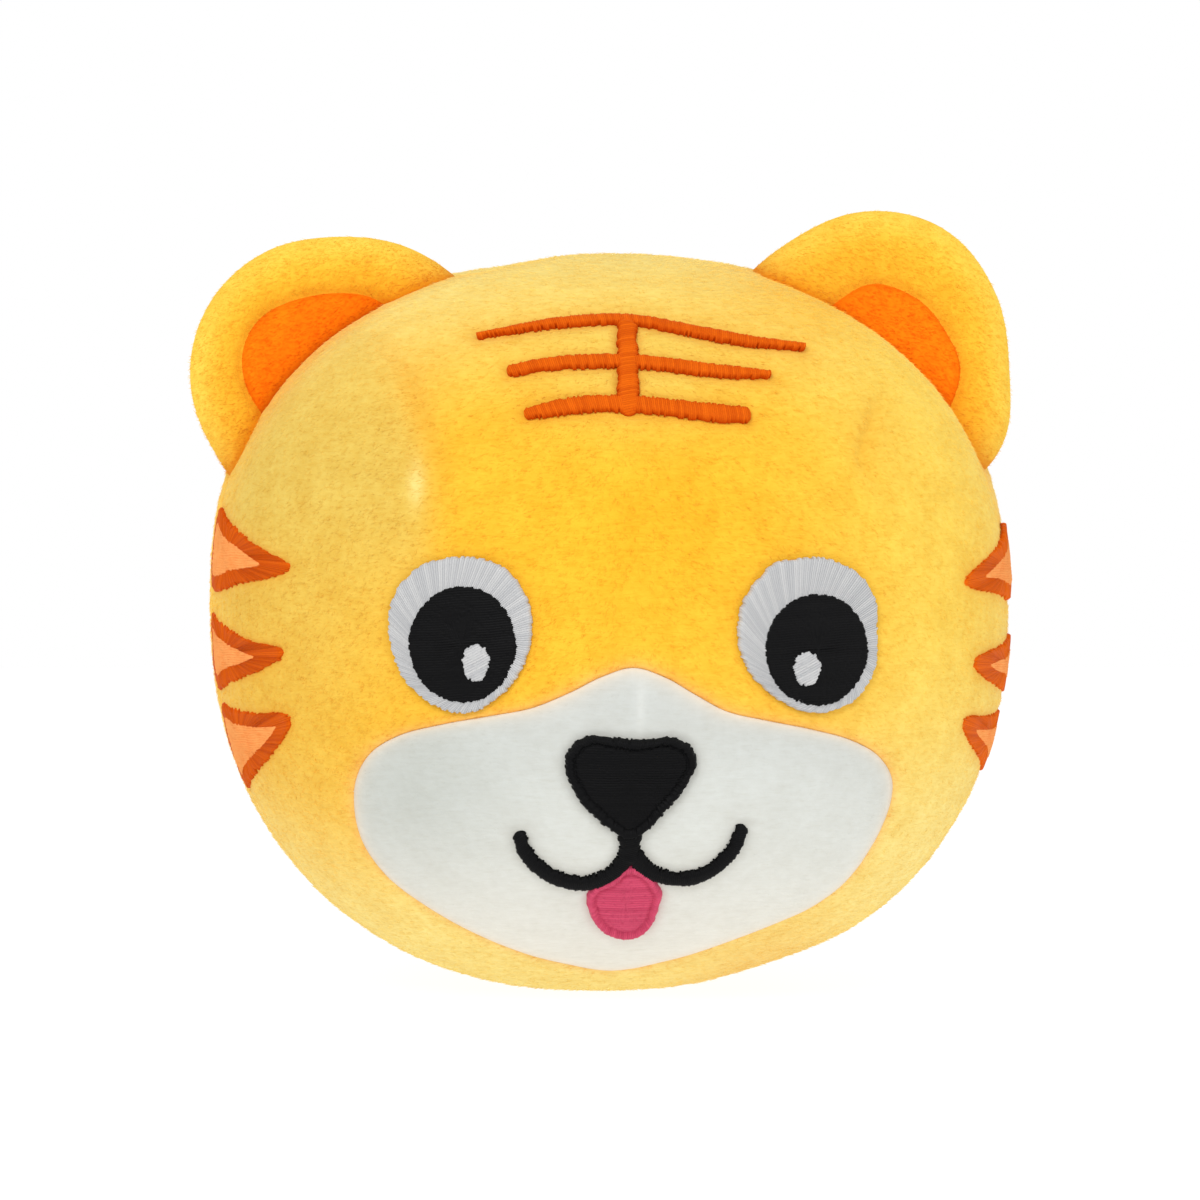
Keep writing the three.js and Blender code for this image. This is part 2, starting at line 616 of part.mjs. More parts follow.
function zipSlider() {
  const [from, to] = [SLIDER_ANGLE - SLIDER_HALF, SLIDER_ANGLE + SLIDER_HALF];
  const back = BACK_RADIUS;
  const plate = arcBar(-4.2, 4.2, back - 0.3, back + 1, from, to, 6);
  const flanges = [[-4.2, -2.9], [2.9, 4.2]].map(([x0, x1]) => arcBar(x0, x1, back - 1.9, back, from, to, 6));
  const legs = [
    arcBar(-0.8, 0.8, back + 0.6, back + 4, SLIDER_ANGLE - 3.2, SLIDER_ANGLE - 2.1, 1),
    arcBar(-0.8, 0.8, back + 0.6, back + 4, SLIDER_ANGLE + 2.1, SLIDER_ANGLE + 3.2, 1),
  ];
  const bridge = arcBar(-0.8, 0.8, back + 3.1, back + 4.1, SLIDER_ANGLE - 3.2, SLIDER_ANGLE + 3.2, 4);
  return joined([plate, ...flanges, ...legs, bridge]);
}

// The pull hangs on the slider's bridge; drawn along +Z below its pivot, then turned onto the arc
const PULL_RADIUS = BACK_RADIUS + 2.05;
const PULL_LENGTH = 17;
function zipPull() {
  const bar = axle(0.55, -2.2, 2.2, 0, 0, 12);
  const arms = [box(-2.3, -1.25, -0.5, 0.5, -5.4, 0.2), box(1.25, 2.3, -0.5, 0.5, -5.4, 0.2)];
  const eyelet = box(-1.4, 1.4, -1, 1, -PULL_LENGTH + 2, -PULL_LENGTH + 6);
  const tab = cutBy(box(-2.9, 2.9, -0.5, 0.5, -PULL_LENGTH, -4.6), [eyelet]);
  const made = geometryOf(joined([bar, ...arms, tab]));
  const [y, z] = onArc(PULL_RADIUS, SLIDER_ANGLE);
  return made.rotateX(rad(SLIDER_ANGLE)).translate(0, y, z);
}

const topStop = () => arcBar(-2.5, 2.5, TAPE_OUTER + 0.3, TOOTH_OUTER, ZIP_TOP + 0.7, ZIP_TOP + 2.5, 1);
const bottomStop = () => arcBar(-2.5, 2.5, TAPE_OUTER + 0.3, TOOTH_OUTER, ZIP_BOTTOM - 2.4, ZIP_BOTTOM - 0.6, 1);

// Ball shells
const inBall = (radius, made) => made.intersect(sphere(radius));
const atTurn = (radius, angle) => [radius * Math.cos(rad(angle)), radius * Math.sin(rad(angle))];
const BOSSES = [90, 210, 330].map((angle) => atTurn(BOSS_RADIUS, angle));
const DOOR = { half: 23.3, tall: 17, tabHalf: 5.3, tabTop: 24.4, screwHeight: 20.6 };
const SWITCH_Z = -27;
const PART_GAP = 0.15;

function doorTool(less) {
  const main = box(-DOOR.half + less, DOOR.half - less, 20, 50, -DOOR.tall + less, DOOR.tall - less);
  return main.add(box(-DOOR.tabHalf + less, DOOR.tabHalf - less, 20, 50, 10, DOOR.tabTop - less));
}

function frontShell() {
  const hollow = cutBy(sphere(BALL_RADIUS), [sphere(BALL_RADIUS - SHELL_WALL)]);
  const skin = hollow.intersect(box(-60, 60, -60, -PART_GAP, -60, 60));
  const bosses = BOSSES.map(([x, z]) => inBall(BALL_RADIUS - 1, rod(3.4, -40, -1.3, x, z)));
  const seat = rod(10.3, -BALL_RADIUS + SHELL_WALL + 0.4, -30, 0, 0, 20);
  const cup = inBall(BALL_RADIUS - 1, rod(12.2, -42, -33, 0, 0, 20)).subtract(seat);
  const holes = BOSSES.map(([x, z]) => rod(1.4, -12.5, 0, x, z, 8));
  const grille = [[0, 0], ...[0, 60, 120, 180, 240, 300].map((angle) => atTurn(5.2, angle))];
  const vents = grille.map(([x, z]) => rod(1.3, -50, -36, x, z, 8));
  return largest(cutBy(joined([skin, ...bosses, cup]), [...holes, ...vents]));
}

function rearShell() {
  const hollow = cutBy(sphere(BALL_RADIUS), [sphere(BALL_RADIUS - SHELL_WALL)]);
  const skin = hollow.intersect(box(-60, 60, PART_GAP, 60, -60, 60));
  const tray = inBall(BALL_RADIUS - 1, box(-27.3, 27.3, 13.4, 42, -19, 19));
  const bosses = BOSSES.map(([x, z]) => inBall(BALL_RADIUS - 1, rod(3.9, 0.8, 40, x, z)));
  const doorBoss = inBall(BALL_RADIUS - SHELL_WALL - 0.35, rod(3.4, 15, 42, 0, DOOR.screwHeight));
  const pegs = [-11, 11].map((x) => inBall(BALL_RADIUS - 1, rod(1.6, 9.1, 42, x, -25, 8)));
  const whole = joined([skin.subtract(doorTool(0)), tray.subtract(doorBayTop()), ...bosses, ...pegs, doorBoss]);
  const cuts = [
    box(-26, 26, 14.9, 50, -17.6, 17.6).intersect(sphere(BALL_RADIUS - SHELL_WALL)),
    doorTool(0).intersect(cutBy(sphere(50), [sphere(BALL_RADIUS - SHELL_WALL - 0.3)])),
    rod(1.3, 22, 50, 0, DOOR.screwHeight, 12),
    box(-4.5, 4.5, 20, 50, SWITCH_Z - 2.4, SWITCH_Z + 2.4),
    ...BOSSES.map(([x, z]) => rod(1.45, 0, 6, x, z, 8)),
    ...BOSSES.map(([x, z]) => rod(2.7, 5, 50, x, z, 12)),
  ];
  return largest(cutBy(whole, cuts));
}
const doorBayTop = () => doorTool(0).intersect(cutBy(sphere(50), [sphere(BALL_RADIUS - SHELL_WALL - 0.3)]));

function batteryDoor() {
  const plate = cutBy(sphere(BALL_RADIUS), [sphere(BALL_RADIUS - SHELL_WALL)]).intersect(doorTool(0.3));
  const rib = inBall(BALL_RADIUS - 1, box(-1, 1, 26.4, 42, -12, 12));
  const hole = [rod(1.4, 20, 50, 0, DOOR.screwHeight, 8), rod(2.7, 35.4, 50, 0, DOOR.screwHeight, 16)];
  return largest(cutBy(joined([plate, rib]), hole));
}

function doorScrew() {
  const shank = rod(1.05, 23, 36.2, 0, DOOR.screwHeight, 12);
  const head = rod(2.3, 35.7, 42, 0, DOOR.screwHeight, 14);
  return inBall(BALL_RADIUS - 0.2, joined([shank, head]));
}
const shellScrew = ([x, z]) => joined([rod(1.1, -11.5, 5.6, x, z, 8), rod(2.3, 5.25, 6.9, x, z, 12)]);

// Cells and their contacts
function cell(z) {
  const half = CELL_LENGTH / 2;
  const way = z === 0 ? -1 : 1;
  const can = axle(CELL_RADIUS, -half + (way < 0 ? 1 : 0), half - (way > 0 ? 1 : 0), CELL_Y, z, 20);
  const nub = way > 0 ? axle(1.9, half - 1.2, half, CELL_Y, z, 12) : axle(1.9, -half, -half + 1.2, CELL_Y, z, 12);
  return can.add(nub);
}

function contacts(side) {
  const plate = side < 0 ? box(-25.7, -25.1, 15.3, 24.6, -15.4, 15.4) : box(25.1, 25.7, 15.3, 24.6, -15.4, 15.4);
  const studs = [-CELL_SPACING, 0, CELL_SPACING].map((z) => {
    const cone = new THREE.CylinderGeometry(1.6, 2.6, 2.7, 10).rotateZ((side * Math.PI) / 2);
    return solid(cone.translate(side * 23.9, CELL_Y, z));
  });
  return joined([plate, ...studs]);
}

// Gears: each tooth narrows from root to tip, thinned a little so that the teeth run free
const COMPOUND_AT = [GEAR_CENTRES * Math.cos(COMPOUND_TURN), GEAR_CENTRES * Math.sin(COMPOUND_TURN)];
const MOTOR_AT = [
  COMPOUND_AT[0] + GEAR_CENTRES * Math.cos(MOTOR_TURN),
  COMPOUND_AT[1] + GEAR_CENTRES * Math.sin(MOTOR_TURN),
];

function gearShape(teeth, phase, x, z) {
  const pitch = (GEAR_MODULE * teeth) / 2;
  const root = pitch - 1.2 * GEAR_MODULE;
  const tip = pitch + 0.85 * GEAR_MODULE;
  const spacing = (2 * Math.PI) / teeth;
  const half = (Math.PI * GEAR_MODULE) / 4 - GEAR_PLAY / 2;
  const profile = [[root, half * 1.4], [tip, half * 0.55]];
  const points = [];
  for (let tooth = 0; tooth < teeth; tooth += 1) {
    const middle = phase + tooth * spacing;
    const rise = profile.map(([r, w]) => [r, middle - w / r]);
    const fall = [...profile].reverse().map(([r, w]) => [r, middle + w / r]);
    for (const [r, turn] of [...rise, ...fall]) {
      points.push(new THREE.Vector2(x + r * Math.cos(turn), z + r * Math.sin(turn)));
    }
  }
  return new THREE.Shape(points);
}

function hole(radius, x, z, sides = 12) {
  const turns = Array.from({ length: sides }, (_, i) => (2 * Math.PI * i) / sides);
  const place = (turn) => new THREE.Vector2(x + radius * Math.cos(turn), z + radius * Math.sin(turn));
  return new THREE.Path(turns.map(place));
}

const halfTooth = (teeth) => Math.PI / teeth;

function motorPinion() {
  const [x, z] = MOTOR_AT;
  const gear = slab(gearShape(SMALL_TEETH, MOTOR_TURN + Math.PI + halfTooth(SMALL_TEETH), x, z), -4.2, -1.6);
  return gear.add(rod(1, -4, 6, x, z, 12));
}

function compoundGear() {
  const [x, z] = COMPOUND_AT;
  const large = slab(gearShape(LARGE_TEETH, MOTOR_TURN, x, z), -4.2, -1.6);
  const small = slab(gearShape(SMALL_TEETH, COMPOUND_TURN + Math.PI + halfTooth(SMALL_TEETH), x, z), -8.6, -4.1);
  return large.add(small).subtract(rod(1.2 + FREE_FIT, -20, 20, x, z, 12));
}

function outputGear() {
  const gear = slab(gearShape(LARGE_TEETH, COMPOUND_TURN, 0, 0), -8.2, -5.2);
  const hub = rod(3.4, -9.1, -5.4, 0, 0, 16).add(rod(2.4, -5.5, -1.4, 0, 0, 14));
  return gear.add(hub).subtract(rod(1.6, -20, 20, 0, 0, 12));
}

const driveShaft = () => rod(1.5, -27.4, 0.3, 0, 0, 12);

function eccentricWeight() {
  const shape = new THREE.Shape();
  shape.absarc(0, 0, 24, rad(208), rad(332), false);
  shape.absarc(0, 0, 5, rad(-20), rad(200), false);
  shape.closePath();
  return slab(shape, -25.6, -13.4).subtract(rod(1.6, -40, 20, 0, 0, 12));
}

// Gearbox: a plate across the ball that carries the motor, and a cover on three legs
const PLATE_RADIUS = 29.5;
const LEGS = [[-14.6, -2.4], [9.4, -13.8], [21, 17.6]];
function gearboxFrame() {
  const arm = rad(10);
  const shape = new THREE.Shape();
  [210, 330, 90].forEach((angle, i) => {
    const at = rad(angle);
    const tip = [-3.4, -1.8, 1.8, 3.4].map((w, k) => [BOSS_RADIUS + (k === 0 || k === 3 ? 0.6 : 3.4), w]);
    for (const [r, w] of tip) {
      const corner = [r * Math.cos(at) - w * Math.sin(at), r * Math.sin(at) + w * Math.cos(at)];
      if (i === 0 && w === -3.4) shape.moveTo(...corner);
      else shape.lineTo(...corner);
    }
    for (let k = 0; k <= 6; k += 1) {
      const turn = at + arm + ((rad(120) - 2 * arm) * k) / 6;
      shape.lineTo(PLATE_RADIUS * Math.cos(turn), PLATE_RADIUS * Math.sin(turn));
    }
  });
  shape.closePath();
  shape.holes = [hole(1.5 + FREE_FIT, 0, 0), hole(3.4, ...MOTOR_AT), ...BOSSES.map(([x, z]) => hole(1.45, x, z))];
  const post = rod(1.2, -9.2, -0.5, COMPOUND_AT[0], COMPOUND_AT[1], 12);
  const legs = LEGS.map(([x, z]) => rod(2, -9.2, -0.5, x, z, 10));
  return joined([slab(shape, -1, 0.5), post, ...legs]);
}

function gearboxCover() {
  const shape = new THREE.Shape();
  LEGS.forEach(([x, z], i) => {
    const out = Math.hypot(x, z);
    const corner = [x + (3.4 * x) / out, z + (3.4 * z) / out];
    if (i === 0) shape.moveTo(...corner);
    else shape.lineTo(...corner);
  });
  shape.closePath();
  const pads = LEGS.map(([x, z]) => rod(3.2, -11, -9.5, x, z, 18));
  const hub = rod(4, -11, -9.5, 0, 0, 20);
  return cutBy(joined([slab(shape, -11, -9.5), hub, ...pads]), [rod(1.5 + FREE_FIT, -20, 0, 0, 0, 12)]);
}

function motor() {
  const [x, z] = MOTOR_AT;
  const can = joined([rod(12, 0.8, 12.6, x, z, 32), rod(3, -0.4, 1.2, x, z, 18)]);
  return cutBy(can, [rod(1 + FREE_FIT, -2, 7, x, z, 12)]);
}

// Circuit board with its parts, speaker and switch
function circuitBoard() {
  const board = box(-15, 15, 7.2, 8.8, -33, -15);
  const chips = [box(-12, -5, 8.6, 10.2, -22, -17), box(5, 9, 8.6, 9.9, -21, -17)];
  const parts = [...chips, box(-4.4, 4.4, 8.6, 12.4, -29.2, -24.8)];
  const can = rod(2.2, 8.6, 13, 12, -30, 14);
  return joined([board, ...parts, can]);
}

function speaker() {
  const cone = [[0, 0], [2.4, 0], [3.2, 0.8], [8.2, 2.6]];
  const profile = [...cone, [9.9, 2.6], [9.9, 1.2], [6.2, -1.2], [6.2, -3.4], [0, -3.4]];
  const points = profile.map(([r, y]) => new THREE.Vector2(r, y)).reverse();
  const made = solid(new THREE.LatheGeometry(points, 14).rotateX(Math.PI).translate(0, -35, 0));
  if (made.volume() > 0) return made;
  return solid(new THREE.LatheGeometry(points.reverse(), 14).rotateX(Math.PI).translate(0, -35, 0));
}

function switchKnob() {
  const stem = box(-3.2, -0.8, 12.8, 33, SWITCH_Z - 1, SWITCH_Z + 1);
  const cap = box(-4, 0, 27.5, 40, SWITCH_Z - 2, SWITCH_Z + 2);
  return inBall(BALL_RADIUS - 0.4, joined([stem, cap]));
}

// The scene: every piece is drawn round the pocket's middle
const toy = new THREE.Group();
toy.position.set(SEAT_X, SEAT_Y, POCKET_HEIGHT);

function put(name, made, material) {
  const geometry = made.isBufferGeometry ? made : geometryOf(made);
  const mesh = new THREE.Mesh(geometry, material);
  mesh.name = name;
  toy.add(mesh);
}

put("face_panel", facePanel(), yellowPlush);
put("muzzle_panel", muzzlePanel(), whitePlush);
put("back_panel_left", backPanel(-1), yellowPlush);
put("back_panel_right", backPanel(1), yellowPlush);

for (const side of ["left", "right"]) {
  const ear = earPieces(EARS[side]);
  put(`ear_${side}_front`, ear.front, yellowPlush);
  put(`ear_${side}_back`, ear.back, yellowPlush);
  put(`ear_${side}_filling`, ear.filling, fibre);
  put(`ear_${side}_inner`, ear.inner, orangePlush);
  const eye = eyePieces(EYES[side]);
  put(`eye_${side}_white`, eye.white, whiteThread);
  put(`eye_${side}_pupil`, eye.pupil, blackThread);
  put(`eye_${side}_glint`, eye.glint, whiteThread);
  for (const level of ["top", "middle", "bottom"]) {
    const stripe = cheekStripe(CHEEK_STRIPES[side][level], side === "left" ? -1 : 1);
    put(`cheek_stripe_${side}_${level}`, stripe, stripeThread);
  }
}

put("forehead_stripes", foreheadStripes(), stripeThread);
put("nose", stitched(faceWedge(smoothLoop(NOSE))), blackThread);
put("mouth_line", stitched(mouthTool(0)).subtract(faceWedge(grown(smoothLoop(NOSE), STITCH_GAP))), blackThread);
put("tongue", largest(stitched(faceWedge(smoothLoop(TONGUE))).subtract(mouthTool(STITCH_GAP))), pinkThread);

put("wadding_front", wadding(frontSpace, seamGap), fibre);
put("wadding_rear", wadding(backSpace, seamGap), fibre);
put("pocket_lining", pocketLining(), liningCloth);

put("zip_tape_left", zipTape(-1), zipCloth);
put("zip_tape_right", zipTape(1), zipCloth);
put("zip_slider", zipSlider(), zipMetal);
put("zip_pull", zipPull(), zipMetal);
put("zip_top_stop", topStop(), zipMetal);
put("zip_bottom_stop", bottomStop(), zipMetal);

put("core_shell_front", frontShell(), shellPlastic);
put("core_shell_rear", rearShell(), shellPlastic);
put("battery_door", batteryDoor(), shellPlastic);
put("battery_door_screw", doorScrew(), steel);
BOSSES.forEach((boss, i) => put(`shell_screw_${i + 1}`, shellScrew(boss), steel));
[-CELL_SPACING, 0, CELL_SPACING].forEach((z, i) => put(`cell_${i + 1}`, cell(z), cellWrap));
put("contact_left", contacts(-1), steel);
put("contact_right", contacts(1), steel);

put("gearbox_frame", gearboxFrame(), gearPlastic);
put("gearbox_cover", gearboxCover(), gearPlastic);
put("motor", motor(), steel);
put("motor_pinion", motorPinion(), gearPlastic);
put("compound_gear", compoundGear(), gearPlastic);
put("output_gear", outputGear(), gearPlastic);
put("drive_shaft", driveShaft(), steel);
put("eccentric_weight", eccentricWeight(), zincCast);
put("circuit_board", circuitBoard(), boardGreen);
put("speaker", speaker(), darkPlastic);
put("switch_knob", switchKnob(), darkPlastic);

export default toy;
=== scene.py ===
"""Plush tiger head toy for a dog: a stuffed cover with a stitched face and a zip at the back, and the motor
ball in its pocket.

Shapes are worked out in millimetres round the middle of the ball's pocket, and set in place in metres."""
import math

import bpy
import numpy as np
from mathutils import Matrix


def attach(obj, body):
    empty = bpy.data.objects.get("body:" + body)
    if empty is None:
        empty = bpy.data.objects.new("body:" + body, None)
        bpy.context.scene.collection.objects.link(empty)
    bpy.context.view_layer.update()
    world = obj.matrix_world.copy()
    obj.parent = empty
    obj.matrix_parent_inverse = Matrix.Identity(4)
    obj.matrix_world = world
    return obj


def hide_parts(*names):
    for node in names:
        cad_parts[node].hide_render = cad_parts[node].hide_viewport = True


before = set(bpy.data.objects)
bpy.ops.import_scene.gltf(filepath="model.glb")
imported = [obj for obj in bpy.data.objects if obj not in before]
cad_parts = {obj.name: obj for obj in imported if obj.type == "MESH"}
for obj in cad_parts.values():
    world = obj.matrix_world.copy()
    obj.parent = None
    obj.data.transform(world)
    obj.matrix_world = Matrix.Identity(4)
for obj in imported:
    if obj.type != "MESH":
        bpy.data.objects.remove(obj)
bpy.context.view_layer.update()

# Sizes of the head, in mm, the same as in the solid model
POCKET = np.array([1.25, -0.4, 57.6])
HEAD_HALF_WIDTH = 63.4
FACE_DEPTH = 55.0
BACK_RADIUS = 58.4
CROWN_HEIGHT = 58.4
CHIN_DEPTH = 58.9
PLAN_POWER = 2.15
SIDE_CROWN_POWER, FACE_CROWN_POWER = 2.35, 2.25
SIDE_JAW_POWER, FACE_JAW_POWER = 2.22, 2.2
BACK_POWER = 2.0
SIDE_RISE = 3.4
FACE_RISE = 2.0
MUZZLE_SWELL = 3.5
MUZZLE_SPREAD = 0.5
MUZZLE_AIM = np.array([0, -1, -0.36]) / math.hypot(1, 0.36)
FLOOR_ROUNDING = 0.35
FLOOR_FROM = -0.3  # directions below this may meet the floor
SEARCH_RADIUS = 95.0  # outside the head everywhere, where the search for its cloth starts
MEAN_RADIUS = 60.0
SIDE_SEAM_Y = -6.0
SEAM_GAP = 0.03
MUZZLE_GAP = 0.02
CLOTH_DROP = 0.2  # from the solid's surface, which the pile's tips reach
THREAD = 0.36  # one embroidery thread, laid flat
EDGE_REACH = 6.0  # how far from an outline distances are worked out


def set_down(points):
    """Millimetres round the pocket's middle to metres over the floor."""
    return (points + POCKET) * 0.001


# Shape of the head
def head_radius(ways, inset=0.0):
    """Distance from the pocket's middle to the cloth along unit directions.

    The plan is a rounded oval. Up and down the head closes like a superellipse, whose powers and level pass
    from the sides to the face and the back. The muzzle adds a soft swelling, and the floor flattens the
    underside with a small rounding."""
    x, y, z = ways[..., 0], ways[..., 1], ways[..., 2]
    flat = np.maximum(np.hypot(x, y), 1e-6)
    across, along = np.abs(x) / flat, y / flat
    face = along < 0
    side = across**2
    depth = np.where(face, FACE_DEPTH, BACK_RADIUS)
    plan = (across / HEAD_HALF_WIDTH) ** PLAN_POWER + (np.abs(along) / depth) ** PLAN_POWER
    reach = plan ** (-1 / PLAN_POWER) - inset
    rise = side * SIDE_RISE + (1 - side) * np.where(face, FACE_RISE, 0)
    crown = side * SIDE_CROWN_POWER + (1 - side) * np.where(face, FACE_CROWN_POWER, BACK_POWER)
    jaw = side * SIDE_JAW_POWER + (1 - side) * np.where(face, FACE_JAW_POWER, BACK_POWER)
    radius = np.full(flat.shape, SEARCH_RADIUS)
    for _ in range(9):
        height = radius * z - rise
        up = height > 0
        limit = np.where(up, CROWN_HEIGHT - rise - inset, CHIN_DEPTH + rise - inset)
        power = np.where(up, crown, jaw)
        level, spread = np.abs(height) / limit, radius * flat / reach
        over = spread**power + level**power - 1
        slope = spread ** (power - 1) * flat / reach + level ** (power - 1) * np.sign(height) * z / limit
        radius = radius - over / (power * slope)
    turn = np.arccos(np.clip(ways @ MUZZLE_AIM, -1, 1)) / MUZZLE_SPREAD
    radius = radius + MUZZLE_SWELL * np.exp(-(turn**2))
    floor = -POCKET[2] + inset
    lifted = floor + FLOOR_ROUNDING * np.logaddexp(0, (radius * z - floor) / FLOOR_ROUNDING)
    return np.where(z < FLOOR_FROM, lifted / np.minimum(z, FLOOR_FROM), radius)


def facing(spots):
    """Directions of places on the face, given by distance to the side and height over the floor: the depth
    is moved until the point lies on the cloth."""
    x, z = spots[..., 0], spots[..., 1] - POCKET[2]
    depth = np.sqrt(np.maximum(MEAN_RADIUS**2 - x**2 - z**2, 100))
    for _ in range(7):
        place = np.stack([x, -depth, z], -1)
        distance = np.linalg.norm(place, axis=-1)
        gap = head_radius(place / distance[..., None]) - distance
        depth = np.maximum(depth + gap * distance / np.maximum(depth, 12), 1)
    place = np.stack([x, -depth, z], -1)
    return place / np.linalg.norm(place, axis=-1, keepdims=True)


def bearing(spots):
    """Directions of places on the side of the head, given as millimetres round it and up it, on a globe of
    the mean radius."""
    turn, rise = spots[..., 0] / MEAN_RADIUS, spots[..., 1] / MEAN_RADIUS
    return np.stack([np.sin(turn) * np.cos(rise), -np.cos(turn) * np.cos(rise), np.sin(rise)], -1)


def unit(v):
    """Vectors divided by their lengths."""
    return v / np.linalg.norm(v, axis=-1, keepdims=True)


# Random and smooth fields
def bell(value, middle, spread):
    """1 at the middle, falling to about a third at a distance of the spread from it."""
    return np.exp(-(((value - middle) / spread) ** 2))


def scatter(key, seed):
    """A fixed random number from 0 to 1 for each whole number."""
    key = np.asarray(key).astype(np.int64) * 374761393 + seed * 668265263
    key = (key ^ (key >> 13)) * 1274126177 & 0xFFFFFFFF
    return ((key ^ (key >> 16)) & 0xFFFF) / 65535


def lumps(places, size, seed):
    """Smooth random heights from -1 to 1: fixed random values at the corners of cells of a size, blended
    between them."""
    scaled = places / size + 500
    cell = np.floor(scaled).astype(np.int64)
    share = scaled - cell
    share = share * share * (3 - 2 * share)
    total = np.zeros(len(places))
    for corner in range(8):
        step = np.array([corner & 1, corner >> 1 & 1, corner >> 2 & 1])
        key = (cell + step) @ np.array([73856093, 19349663, 83492791])
        total += (scatter(key, seed) * 2 - 1) * np.prod(np.where(step, share, 1 - share), axis=1)
    return total


def edge_distance(spots, outline, reach=EDGE_REACH):
    """Distance from spots to a closed outline, negative inside it. Spots beyond the reach keep that
    distance."""
    found = np.full(len(spots), reach)
    low, high = outline.min(0) - reach, outline.max(0) + reach
    near = np.nonzero(((spots > low) & (spots < high)).all(1))[0]
    end = np.roll(outline, -1, 0)
    along = end - outline
    for part in np.array_split(near, len(near) // 4000 + 1):
        gap = spots[part][:, None] - outline
        share = np.clip((gap * along).sum(-1) / (along**2).sum(-1), 0, 1)
        distance = np.linalg.norm(gap - share[..., None] * along, axis=-1).min(1)
        x, y = spots[part][:, :1], spots[part][:, 1:]
        level = np.where(along[:, 1] == 0, 1e-9, along[:, 1])
        meets = outline[:, 0] + (y - outline[:, 1]) / level * along[:, 0]
        crosses = ((outline[:, 1] <= y) != (end[:, 1] <= y)) & (x < meets)
        found[part] = np.where(crosses.sum(1) % 2 == 1, -distance, distance)
    return found


# Lines and outlines
def spline(knots, closed, steps=24):
    """Centripetal Catmull-Rom curve through knots."""
    knots = np.asarray(knots, float)
    if closed:
        knots = np.concatenate([knots[-1:], knots, knots[:2]])
    else:
        knots = np.concatenate([2 * knots[:1] - knots[1:2], knots, 2 * knots[-1:] - knots[-2:-1]])
    a, b, c, d = knots[:-3], knots[1:-2], knots[2:-1], knots[3:]
    gaps = [np.maximum(np.linalg.norm(q - p, axis=1), 1e-6) for p, q in ((a, b), (b, c), (c, d))]
    t1, t2, t3 = np.cumsum(np.array(gaps) ** 0.5, axis=0)[..., None, None]
    t = t1 + (t2 - t1) * np.linspace(0, 1, steps, endpoint=False)[None, :, None]
    a, b, c, d = (v[:, None, :] for v in (a, b, c, d))
    one = (t1 - t) / t1 * a + t / t1 * b
    two = (t2 - t) / (t2 - t1) * b + (t - t1) / (t2 - t1) * c
    three = (t3 - t) / (t3 - t2) * c + (t - t2) / (t3 - t2) * d
    early = (t2 - t) / t2 * one + t / t2 * two
    late = (t3 - t) / (t3 - t1) * two + (t - t1) / (t3 - t1) * three
    curve = ((t2 - t) / (t2 - t1) * early + (t - t1) / (t2 - t1) * late).reshape(-1, 2)
    return curve if closed else np.concatenate([curve, knots[-2:-1]])


def evenly(curve, count, closed=True):
    """The curve with its points moved to equal distances."""
    whole = np.concatenate([curve, curve[:1]]) if closed else curve
    run = np.concatenate([[0], np.cumsum(np.linalg.norm(np.diff(whole, axis=0), axis=1))])
    at = np.linspace(0, run[-1], count, endpoint=not closed)
    return np.stack([np.interp(at, run, whole[:, k]) for k in range(whole.shape[1])], 1)


def outward(outline):
    """Unit directions out of a closed outline that runs anticlockwise."""
    along = np.roll(outline, -1, 0) - np.roll(outline, 1, 0)
    return unit(np.stack([along[:, 1], -along[:, 0]], 1))


def anticlockwise(outline):
    """The outline, turned round where the area that it runs round is negative."""
    x, y = outline.T
    return outline if (x * np.roll(y, -1) - y * np.roll(x, -1)).sum() > 0 else outline[::-1]


def loop(knots, count=240):
    """A closed curve through knots, at equal distances."""
    return anticlockwise(evenly(spline(knots, True), count))


def egg(x, height, half, rise, drop, count=240):
    """An upper and a lower half ellipse on the same width."""
    turn = np.linspace(0, 2 * math.pi, count, endpoint=False)
    tall = np.where(np.sin(turn) > 0, rise, drop)
    return np.stack([x + half * np.cos(turn), height + tall * np.sin(turn)], 1)


def band_outline(knots, halves, count=60):
    """The outline of a band of stitching along a line, with half widths given along it."""
    line = evenly(spline(knots, False), count, False)
    along = unit(np.gradient(line, axis=0))
    side = np.stack([-along[:, 1], along[:, 0]], 1)
    half = np.interp(np.linspace(0, 1, count), np.linspace(0, 1, len(halves)), halves)[:, None]
    return anticlockwise(np.concatenate([line + side * half, (line - side * half)[::-1]]))


EYES = {
    "left": {
        "white": [
            (-15.7, 57.4), (-16.3, 61), (-18, 64.1), (-20.8, 66.4), (-24.2, 67.2), (-27.6, 67.2),
            (-31, 66.2), (-33.7, 64.1), (-35.5, 61), (-36, 57.4), (-35.5, 53.8), (-34.2, 50.3),
            (-31.6, 47.3), (-28, 45.1), (-24, 44.9), (-20.2, 47.2), (-17.6, 50.3), (-16.2, 53.8),
        ],
        "pupil": (-25.3, 54.6, 7.7, 8.5, 8.4),
        "glint": (-23.3, 52, 2, 2.7, 2.7),
    },
    "right": {
        "white": [
            (36.1, 57.5), (35.8, 60.9), (34.1, 64.1), (31, 66.2), (27.6, 67.2), (24, 67.1), (20.3, 66.3),
            (17.8, 63.9), (15.7, 60.9), (14.9, 57.5), (15.1, 53.8), (16.8, 50.3), (19.7, 47.5),
            (23.6, 45.3), (28.1, 44.7), (32.5, 46.3), (35.3, 49.9), (36.2, 53.8),
        ],
        "pupil": (26.5, 53.8, 8, 8.2, 8.2),
        "glint": (24.8, 51.1, 2.1, 2.5, 2.5),
    },
}
